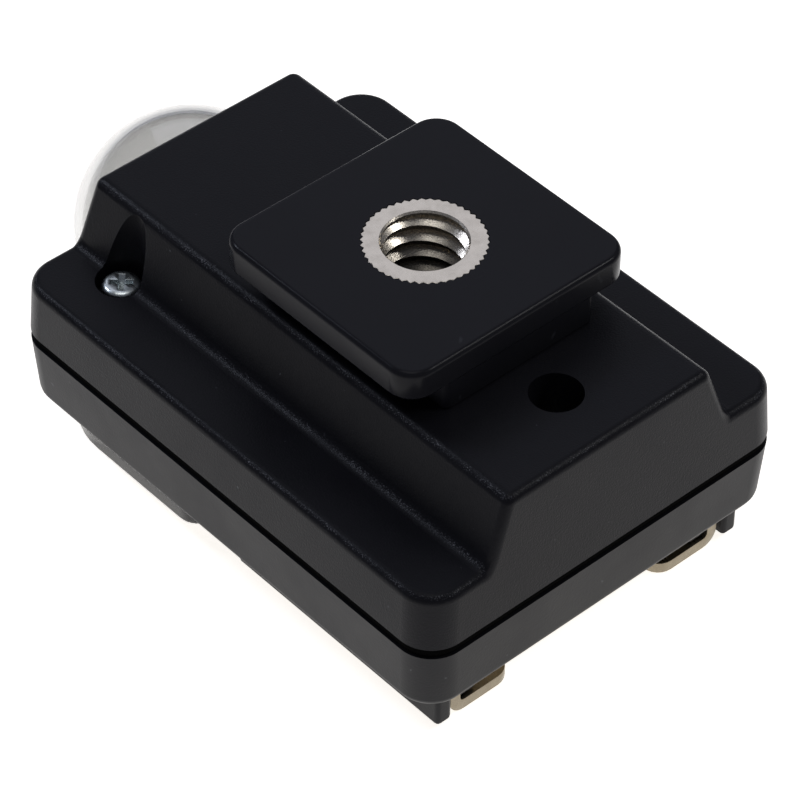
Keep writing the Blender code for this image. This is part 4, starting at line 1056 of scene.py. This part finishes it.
@dataclass
class MountingFoot:
    """Foot that slides into an accessory shoe, and the threaded sleeve in its middle."""

    corner: float = 1.9 * MM
    edge: float = 0.42 * MM
    thickness: float = 2.1 * MM
    neck_width: float = 12.4 * MM
    neck_setback: float = 0.15 * MM
    neck_corner: float = 0.5 * MM
    lower_edge: float = 0.15 * MM
    screw_bore: float = 1.05 * MM        # radius of the foot screws' holes
    seat_gap: float = 0.02 * MM
    teeth: int = 46                      # knurls round the sleeve
    tooth: float = 0.2 * MM
    rim_edge: float = 0.09 * MM
    wear_waves: int = 5                  # stretches of deeper and shallower teeth round it
    pitch: float = 1.27 * MM             # twenty threads to the inch
    thread_root: float = 3.2 * MM
    thread_crest: float = 2.6 * MM
    flank: float = 0.52 * MM             # half the thread's height at its root
    crest_flat: float = 0.08 * MM        # and at its crest
    overlap: float = 0.02 * MM           # how far the thread runs into the bore's wall
    mouth: float = 2.74 * MM             # plain opening above the first thread
    mouth_depth: float = 0.3 * MM
    lead_in: float = 0.12 * MM           # chamfer round the opening
    steps_per_turn: int = 56
    plate: Span = field(default_factory=lambda: Span.of("mount_foot"))
    sleeve: Span = field(default_factory=lambda: Span.of("threaded_insert"))

    def make_foot(self) -> bpy.types.Object:
        """Build the plate on its neck, with the sleeve's seat bored through it.

        Returns:
            The piece's object.
        """
        low, high = self.plate.low, self.plate.high
        plate_z = high.z - self.thickness
        bm = block((low.x, low.y, plate_z), high)
        round_off(bm, uprights(bm), self.corner, 12)
        round_off(bm, edges_near(bm, high.z), self.edge, 6)
        round_off(bm, edges_near(bm, plate_z), self.lower_edge, 3)
        item = piece(bm, "foot_plate")
        half = self.neck_width / 2
        neck = block((low.x + self.neck_setback, -half, low.z),
                     (high.x - self.neck_setback, half, high.z - self.thickness / 2))
        round_off(neck, uprights(neck), self.neck_corner, 5)
        shape(item, Cut.JOIN, [neck])
        tools = [move(self.knurled(low.z - MM, high.z + MM, self.seat_gap),
                      (self.sleeve.middle.x, 0.0, 0.0))]
        for screw in map(Span.of, FOOT_SCREWS):
            tools.append(drum(self.screw_bore, low.z - MM, screw.high.z + self.seat_gap,
                              screw.middle))
        shape(item, Cut.TAKE, tools)
        return item

    def knurled(self, low_z: float, high_z: float, grow: float = 0.0) -> BMesh:
        """Make the sleeve's knurled outside, or the seat that grips it.

        Args:
            low_z: level of its lower end.
            high_z: level of its upper end.
            grow: how much larger than the sleeve it is all round.

        Returns:
            A closed bmesh about the Z axis.
        """
        radius = self.sleeve.size.x / 2
        bm = drum(radius, low_z, high_z, ORIGIN, 4 * self.teeth)
        for vert in bm.verts:
            turn = math.atan2(vert.co.y, vert.co.x)
            worn = 0.8 + 0.2 * math.sin(self.wear_waves * turn)
            depth = self.tooth * worn * (0.5 - 0.5 * math.cos(turn * self.teeth))
            vert.co.xy *= 1.0 + (grow - depth) / radius
        return bm

    def thread(self) -> BMesh:
        """Make the ridge of the thread, a right-hand helix up the sleeve's bore.

        Returns:
            A closed bmesh in its place in the bore.
        """
        turns = (self.sleeve.size.z - 2 * self.flank - self.mouth_depth) / self.pitch
        steps = int(self.steps_per_turn * turns)
        start = self.sleeve.low.z + self.flank
        root, crest = self.thread_root + self.overlap, self.thread_crest
        bm = bmesh.new()
        verts = [bm.verts.new((radius, 0.0, start + height)) for radius, height in
                 ((root, -self.flank), (root, self.flank), (crest, self.crest_flat),
                  (crest, -self.crest_flat))]
        edges = [bm.edges.new((verts[i], verts[(i + 1) % 4])) for i in range(4)]
        bmesh.ops.spin(bm, geom=verts + edges, cent=ORIGIN, axis=UP,
                       dvec=(0.0, 0.0, self.pitch * turns / steps), angle=math.tau * turns,
                       steps=steps, use_merge=False, use_duplicate=False)
        bmesh.ops.holes_fill(bm, edges=[edge for edge in bm.edges if edge.is_boundary], sides=0)
        return move(bm, (self.sleeve.middle.x, 0.0, 0.0))

    def make_sleeve(self) -> bpy.types.Object:
        """Build the knurled sleeve, bored and threaded.

        Returns:
            The piece's object.
        """
        low, high = self.sleeve.low, self.sleeve.high
        bm = self.knurled(low.z, high.z)
        round_off(bm, edges_near(bm, high.z), self.rim_edge, 2)
        item = piece(move(bm, (self.sleeve.middle.x, 0.0, 0.0)), "threaded_sleeve")
        root, mouth, flare = self.thread_root, self.mouth, self.mouth + self.lead_in
        step_z = high.z - self.mouth_depth
        bore = turned([(0.0, high.z + MM), (flare, high.z + MM), (flare, high.z),
                       (mouth, high.z - self.lead_in), (mouth, step_z),
                       (root, step_z - (root - mouth) / 2), (root, low.z - MM),
                       (0.0, low.z - MM)], (self.sleeve.middle.x, 0.0), 96)
        shape(item, Cut.TAKE, [bore])
        ridge = piece(self.thread(), "ridge")
        joined = bmesh.new()
        joined.from_mesh(item.data)
        joined.from_mesh(ridge.data)
        joined.to_mesh(item.data)
        joined.free()
        discard(ridge)
        shade(item.data)
        return item

    def build(self) -> None:
        """Make the foot and its sleeve, and dress them."""
        fit_out(self.make_foot(), FOOT, ["mount_foot"])
        fit_out(self.make_sleeve(), SLEEVE_NICKEL, ["threaded_insert"])


@dataclass
class AccessoryShoe:
    """Sheet-metal shoe on the front, its liner, its sprung contact and what insulates that."""

    sheet: float = 0.85 * MM
    slot_width: float = 12.6 * MM
    bend: float = 0.75 * MM              # centre-line radius of the lips' bends
    upper_bend: float = 0.5 * MM
    lip_corner: float = 1.3 * MM
    channel_width: float = 18.8 * MM
    stop: float = 1.4 * MM
    screw_radius: float = 1.3 * MM
    screw_shank: float = 0.65 * MM
    screw_edge: float = 0.08 * MM
    ring_room: float = 2.03 * MM         # bore behind the ring's face, for the contact's shoulder
    ring_edge: float = 0.2 * MM
    pin: float = 1.5 * MM                # radius of the contact's pin
    gap: float = 0.12 * MM
    shell: Span = field(default_factory=lambda: Span.of("shoe_frame"))
    liner: Span = field(default_factory=lambda: Span.of("shoe_liner"))

    def __post_init__(self) -> None:
        """Work out the base plate's face and where the four screws are."""
        self.base_z = self.shell.high.z - self.sheet
        self.screws = {f"shoe_screw_{i}": Span.of(f"shoe_screw_{i}") for i in range(1, 5)}

    def folded_sheet(self) -> BMesh:
        """Fold the channel: a strip of four corners is drawn out, bent and trimmed.

        Returns:
            A sheet with no thickness yet.
        """
        half = self.sheet / 2
        side = self.shell.high.y - half
        low_z, high_z = self.shell.low.z + half, self.shell.high.z - half
        outline = [(-self.slot_width / 2, low_z), (-side, low_z), (-side, high_z),
                   (side, high_z), (side, low_z), (self.slot_width / 2, low_z)]
        bm = bmesh.new()
        verts = [bm.verts.new((self.shell.low.x, y, z)) for y, z in outline]
        edges = [bm.edges.new(pair) for pair in zip(verts, verts[1:])]
        drawn = bmesh.ops.extrude_edge_only(bm, edges=edges)["geom"]
        bmesh.ops.translate(bm, vec=(self.shell.size.x, 0.0, 0.0),
                            verts=[part for part in drawn if isinstance(part, BMVert)])
        tips = [vert for vert in bm.verts if abs(abs(vert.co.y) - self.slot_width / 2) < MERGE]
        bmesh.ops.bevel(bm, geom=tips, offset=self.lip_corner, offset_type="OFFSET", segments=6,
                        profile=0.5, affect="VERTICES", clamp_overlap=True, material=-1)
        for level, radius in ((low_z, self.bend), (high_z, self.upper_bend)):
            folds = edges_where(bm, lambda co: abs(abs(co.y) - side) < MERGE
                                and abs(co.z - level) < MERGE)
            round_off(bm, folds, radius, 6)
        bmesh.ops.recalc_face_normals(bm, faces=bm.faces)
        return bm

    def sink(self, span: Span, gap: float) -> Profile:
        """Outline of a countersunk screw's room, from its buried end down past its face.

        Args:
            span: the screw's box.
            gap: how much wider than the screw it is.

        Returns:
            A profile to turn about the screw's axis.
        """
        flare = self.base_z + self.screw_radius - self.screw_shank
        return [(0.0, span.high.z + MM), (self.screw_shank + gap, span.high.z + MM),
                (self.screw_shank + gap, flare), (self.screw_radius + gap, self.base_z),
                (self.screw_radius + gap, self.base_z - MM / 2), (0.0, self.base_z - MM / 2)]

    def make_frame(self) -> bpy.types.Object:
        """Build the folded channel with its countersinks and the contact's hole.

        Returns:
            The piece's object.
        """
        item = piece(self.folded_sheet(), "shoe_channel")
        step = item.modifiers.new("thickness", "SOLIDIFY")
        step.thickness = self.sheet
        step.offset = 0.0
        step.use_even_offset = True
        apply_modifiers(item)
        shade(item.data)
        tools = [turned(self.sink(span, self.gap / 2), span.middle, COARSE_TURN)
                 for span in self.screws.values()]
        insulator = Span.of("contact_insulator")
        tools.append(drum(insulator.size.x / 2 + self.gap / 2, self.base_z - MM / 2,
                          self.shell.high.z + MM, insulator.middle, FINE_TURN))
        shape(item, Cut.TAKE, tools)
        ease(item, 0.1 * MM)
        return item

    def make_liner(self) -> bpy.types.Object:
        """Build the plastic horseshoe between base and lips.

        Returns:
            The piece's object.
        """
        low, high = self.liner.low, self.liner.high
        item = piece(block(low, high), "channel_liner")
        half = self.channel_width / 2
        opening = block((low.x + self.stop, -half, low.z - MM), (high.x + MM, half, high.z + MM))
        round_off(opening, uprights(opening), 0.6 * MM, 5)
        shape(item, Cut.TAKE, [opening])
        ease(item, 0.15 * MM)
        return item

    def make_screw(self, name: str, span: Span) -> bpy.types.Object:
        """Build one countersunk screw with a cross recess.

        Args:
            name: the node that it stands for.
            span: that node's box.

        Returns:
            The screw's object.
        """
        face = span.low.z
        flare = face + self.screw_radius - self.screw_shank
        profile = [(0.0, span.high.z), (self.screw_shank * 0.8, span.high.z),
                   (self.screw_shank, span.high.z - 0.15 * MM), (self.screw_shank, flare),
                   (self.screw_radius, face + self.screw_edge),
                   (self.screw_radius - self.screw_edge, face), (0.0, face)]
        item = piece(turned(profile, span.middle, COARSE_TURN),
                     name.replace("shoe_screw", "shoe_fixing"))
        shape(item, Cut.TAKE, [move(turn_about(blade, 180.0, "X"), (*span.middle.xy, face))
                               for blade in recess(0.62 * self.screw_radius, 0.14 * MM, 0.35 * MM)])
        return item

    def make_insulator(self) -> bpy.types.Object:
        """Build the stepped ring that holds the contact clear of the metal.

        Returns:
            The piece's object.
        """
        span = Span.of("contact_insulator")
        outer, edge, face, top = span.size.x / 2, self.ring_edge, span.low.z, span.high.z
        step, bore, shelf = face + 0.85 * MM, self.pin + 0.08 * MM, face + 1.3 * MM
        profile = [(self.ring_room, top), (RING_NECK, top), (RING_NECK, step), (outer, step),
                   (outer, face + edge)]
        profile += arc(edge, 0.0, -90.0, 4, (outer - edge, face + edge))[1:]
        profile += [(bore + 0.15 * MM, face), (bore, face + 0.15 * MM), (bore, shelf),
                    (self.ring_room, shelf)]
        return piece(turned(profile, Span.of("centre_contact").middle), "insulating_ring")

    def make_contact(self) -> bpy.types.Object:
        """Build the sprung contact: a polished round nose on a shouldered pin.

        Returns:
            The piece's object.
        """
        span = Span.of("centre_contact")
        low, top = span.low.z, span.high.z
        shoulder, nose = span.size.x / 2, 0.6 * MM
        profile = [(0.0, top), (shoulder - 0.1 * MM, top), (shoulder, top - 0.1 * MM),
                   (shoulder, top - 0.6 * MM), (self.pin, top - 0.6 * MM)]
        profile += arc(nose, 0.0, -90.0, 8, (self.pin - nose, low + nose)) + [(0.0, low)]
        return piece(turned(profile, span.middle), "contact_pin")

    def build(self) -> None:
        """Make the shoe's pieces and dress them."""
        fit_out(self.make_frame(), NICKEL, ["shoe_frame"])
        fit_out(self.make_liner(), LINER, ["shoe_liner"])
        fit_out(self.make_insulator(), LINER, ["contact_insulator"])
        fit_out(self.make_contact(), BRASS, ["centre_contact"], Body.CONTACT)
        for name, span in self.screws.items():
            fit_out(self.make_screw(name, span), ZINC, [name])


def recess(reach: float, blade: float, depth: float) -> list[BMesh]:
    """Make the two blades of a cross recess, sunk from height 0.

    Args:
        reach: length of each arm.
        blade: half the width of an arm.
        depth: how deep it goes.

    Returns:
        Two tapered blades at right angles.
    """
    shorter, thinner = 0.45, 0.75        # at the recess's floor, against its mouth
    blades = []
    for turn in (48.0, 138.0):
        bm = block((-reach, -blade, -depth), (reach, blade, depth))
        for vert in bm.verts:
            if vert.co.z < 0.0:
                vert.co.x *= shorter
                vert.co.y *= thinner
        blades.append(turn_about(bm, turn, "Z"))
    return blades


@dataclass
class CaseScrews:
    """Three pan-head screws that hold the shells together."""

    crown: float = 0.42 * MM             # fillet round the head's top
    proud: float = 0.2 * MM              # how much higher the two side screws stand
    slot_width: float = 0.48 * MM
    slot_depth: float = 0.6 * MM

    def make(self, name: str) -> bpy.types.Object:
        """Build the screw that stands for a node.

        Args:
            name: the node's name.

        Returns:
            The screw's object.
        """
        span = Span.of(name)
        radius, top = span.size.x / 2, span.high.z
        if not name.endswith("end"):
            top += self.proud
        seat, crown = top - HEAD_HEIGHT, self.crown
        profile = [(0.0, top), (radius - crown, top)]
        profile += arc(crown, 90.0, 0.0, 8, (radius - crown, top - crown))[1:]
        profile += [(radius, seat), (SHANK, seat), (SHANK, span.low.z + SHANK), (0.0, span.low.z)]
        item = piece(turned(profile, span.middle), name.replace("screw", "fixing"))
        shape(item, Cut.TAKE, [move(blade, (*span.middle.xy, top)) for blade in
                               recess(0.8 * radius, self.slot_width / 2, self.slot_depth)])
        ease(item, 0.04 * MM, 45.0)
        return item

    def build(self) -> None:
        """Make the screws and dress them."""
        for name in CASE_SCREWS:
            fit_out(self.make(name), ZINC, [name])


@dataclass
class SensorWindow:
    """Clear moulding with its dome, and the sensor and lamp that it covers."""

    dome_radius: float = 8.05 * MM
    dome_rise: float = 5.2 * MM          # its centre above the front face
    wall: float = 0.6 * MM
    thickness: float = 1.6 * MM
    gap: float = 0.12 * MM
    inset: float = 0.9 * MM              # window's sides inside the casing's
    to_shoe: float = 2.7 * MM
    corner: float = 6.0 * MM             # plan corners at the dome end
    inner_corner: float = 1.6 * MM
    edge: float = 0.35 * MM
    window: Span = field(default_factory=lambda: Span.of("sensor_window"))
    shoe: Span = field(default_factory=lambda: Span.of("shoe_frame"))
    casing: Span = field(default_factory=lambda: Span.of("front_housing"))

    def make_window(self) -> bpy.types.Object:
        """Build the flat window with the hollow dome at its end.

        Returns:
            The piece's object.
        """
        radius, front_z = self.dome_radius, front_face()
        centre = Vector((self.window.low.x + radius, 0.0, front_z + self.dome_rise))
        top = front_z - self.gap
        low = top - self.thickness
        half = self.casing.size.y / 2 - self.inset
        end = self.casing.low.x + self.inset
        inner = self.shoe.low.x - self.to_shoe
        bm = block((end, -half, low), (inner, half, top + MM))
        round_off(bm, [edge for edge in uprights(bm) if edge.verts[0].co.x < end + MERGE],
                  self.corner, 12)
        round_off(bm, [edge for edge in uprights(bm) if edge.verts[0].co.x > inner - MERGE],
                  self.inner_corner, 8)
        round_off(bm, edges_near(bm, low), self.edge, 4)
        item = piece(bm, "clear_window")
        shape(item, Cut.JOIN, [self.ball(radius, centre, 96, 49)])
        room = block((centre.x, -2 * half, top), (-centre.x, 2 * half, 3 * self.casing.high.z))
        shape(item, Cut.TAKE, [room, self.ball(radius - self.wall, centre, 88, 45)])
        return item

    @staticmethod
    def ball(radius: float, centre: Sequence[float], around: int, rings: int) -> BMesh:
        """Make a ball with its poles along X.

        Args:
            radius: its radius.
            centre: its centre.
            around: faces round it.
            rings: faces from pole to pole, an odd count.

        Returns:
            A closed bmesh.
        """
        bm = bmesh.new()
        bmesh.ops.create_uvsphere(bm, u_segments=around, v_segments=rings, radius=radius)
        return move(turn_about(bm, 90.0, "Y"), centre)

    def make_sensor(self) -> bpy.types.Object:
        """Build the round sensor, its lens towards the dome and a collar inside the wall.

        Returns:
            The piece's object.
        """
        span = Span.of("photo_sensor")
        radius, collar, tip = SENSOR_RADIUS, span.size.z / 2, span.size.x
        profile = [(0.0, tip)] + arc(radius, 84.0, 0.0, 12, (0.0, tip - radius))
        profile += [(radius, 1.7 * MM), (collar, 1.7 * MM), (collar, 0.8 * MM),
                    (radius, 0.8 * MM), (radius, 0.0), (0.0, 0.0)]
        bm = turn_about(turned(profile), -90.0, "Y")
        return piece(move(bm, (span.high.x, 0.0, span.middle.z)), "sensor_lens")

    def make_lamp(self) -> bpy.types.Object:
        """Build the lamp: a straight body with a round nose towards the window.

        Returns:
            The piece's object.
        """
        span = Span.of("indicator_lamp")
        radius, nose = span.size.x / 2, 0.9 * MM
        profile = [(0.0, span.high.z), (radius - 0.15 * MM, span.high.z),
                   (radius, span.high.z - 0.15 * MM)]
        profile += arc(nose, 0.0, -90.0, 10, (radius - nose, span.low.z + nose))
        profile.append((0.0, span.low.z))
        return piece(turned(profile, span.middle), "lamp_lens")

    def build(self) -> None:
        """Make the window, the sensor and the lamp, and dress them."""
        fit_out(self.make_window(), CLEAR, ["sensor_window"])
        fit_out(self.make_sensor(), SMOKE, ["photo_sensor"])
        fit_out(self.make_lamp(), AMBER, ["indicator_lamp"])


@dataclass
class InnerParts:
    """Pieces whose shape in the frame is already right: they only get their finish."""

    codes: tuple[tuple[str, ...], ...] = (("#5a2d12", "#101010", "#c4511a", "#b8933a"),
                                          ("#d8b11e", "#5b3a8c", "#a01818", "#b8933a"),
                                          ("#a01818", "#a01818", "#5a2d12", "#b8933a"))

    def finishes(self) -> dict[str, Finish]:
        """List the finish of each node that keeps its own shape.

        Returns:
            Each node's name, and its finish.
        """
        listed: dict[str, Finish] = {
            "shoe_spring_left": STEEL, "shoe_spring_right": STEEL, "contact_spring": STEEL,
            "contact_terminal": BRASS, "foot_screw_rear": ZINC, "foot_screw_front": ZINC,
            "main_board": BOARD, "storage_capacitor": SLEEVE, "film_capacitor": FILM,
            "thyristor": EPOXY, "contact_wire": RED_WIRE, "ground_wire": BLACK_WIRE,
            "sensor_lead_emitter": TINNED, "sensor_lead_collector": TINNED,
        }
        for number in (1, 2, 3):
            listed[f"thyristor_leg_{number}"] = TINNED
            listed[f"resistor_{number}"] = resistor_finish(number, self.codes[number - 1])
        return listed

    def build(self) -> None:
        """Give each of these nodes its finish."""
        for name, finish in self.finishes().items():
            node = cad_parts[name]
            for holder in node.material_slots:
                holder.material = finish.material()
            log.info("%s: keeps its shape, finished as %s", name, finish.name)


# ================================================================ studio
@dataclass(frozen=True)
class SoftLight:
    """A square soft light that faces the unit."""

    name: str
    place: Point
    size: float                          # length of its side
    power: float                         # in watts
    colour: str = "#ffffff"

    def hang(self) -> None:
        """Put the light into the scene."""
        data = bpy.data.lights.new(self.name, "AREA")
        data.shape = "SQUARE"
        data.size = self.size
        data.energy = self.power
        data.color = linear(self.colour)[:3]
        facing = (-Vector(self.place)).to_track_quat("-Z", "Y").to_matrix().to_4x4()
        put(self.name, data, Matrix.Translation(self.place) @ facing)


@dataclass
class Studio:
    """White table top, soft lights and the camera."""

    azimuth: float = 47.989              # camera's direction from the unit, in degrees
    elevation: float = 43.649
    roll: float = 0.4305
    distance: float = 256.17 * MM
    aim: Point = (4.135 * MM, 0.0, 3.4 * MM)
    shift: tuple[float, float] = (0.40 * MM, 2.42 * MM)   # across and up, from the aim
    lens: float = 175.86                 # in millimetres, on a 36 mm sensor
    table: float = 3.0                   # length of the table top's side
    table_gap: float = 0.02 * MM         # between it and the unit
    sky_colour: str = "#dfe4f2"
    sky_strength: float = 0.12
    lights: tuple[SoftLight, ...] = (
        SoftLight("overhead", (0.05, -0.10, 0.9), 0.5, 1.1),
        SoftLight("far", (-0.51, 0.46, 0.66), 0.9, 1.6, "#eef1ff"),
        SoftLight("window", (0.42, 0.52, 0.66), 0.2, 1.3),
        SoftLight("side", (-0.62, -0.28, 0.62), 0.16, 1.5, "#e4ecff"),
    )

    def make_camera(self) -> None:
        """Stand the camera where it sees the back, the near side and the shoe's end."""
        turn, tilt, roll = (math.radians(a) for a in (self.azimuth, self.elevation, self.roll))
        back = Vector((math.sin(turn) * math.cos(tilt), -math.cos(turn) * math.cos(tilt),
                       math.sin(tilt)))
        level = Vector(UP).cross(back).normalized()
        rise = back.cross(level)
        across = level * math.cos(roll) + rise * math.sin(roll)
        up = rise * math.cos(roll) - level * math.sin(roll)
        place = (Vector(self.aim) + back * self.distance + across * self.shift[0]
                 + up * self.shift[1])
        data = bpy.data.cameras.new("camera")
        data.lens = self.lens
        data.sensor_width = 36.0
        data.clip_start = 0.01
        data.clip_end = 20.0
        turned_to = Matrix((across, up, back)).transposed().to_4x4()
        bpy.context.scene.camera = put("camera", data, Matrix.Translation(place) @ turned_to)

    def make_table(self) -> None:
        """Lay the white table top that the unit stands on."""
        half = self.table / 2
        item = piece(block((-half, -half, -10.0 * MM), (half, half, -self.table_gap)), "table_top")
        item.data.materials.append(TABLE_TOP.material())

    def build(self) -> None:
        """Set up the camera, the table, the surroundings and the lights."""
        scene = bpy.context.scene
        self.make_camera()
        self.make_table()
        world = bpy.data.worlds.new("studio")
        world.use_nodes = True
        feed(world.node_tree.nodes["Background"], (self.sky_colour, self.sky_strength))
        scene.world = world
        for light in self.lights:
            light.hang()
        scene.view_settings.view_transform = "Standard"
        scene.view_settings.look = "None"


def main() -> None:
    """Build the unit and its studio."""
    logging.basicConfig(level=logging.INFO, format="%(name)s: %(message)s")
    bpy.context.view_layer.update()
    Studio().build()
    for part in (Casing(), MountingFoot(), AccessoryShoe(), CaseScrews(), SensorWindow(),
                 InnerParts()):
        part.build()
        log.info("%s is done", type(part).__name__)


if __name__ == "__main__":
    main()
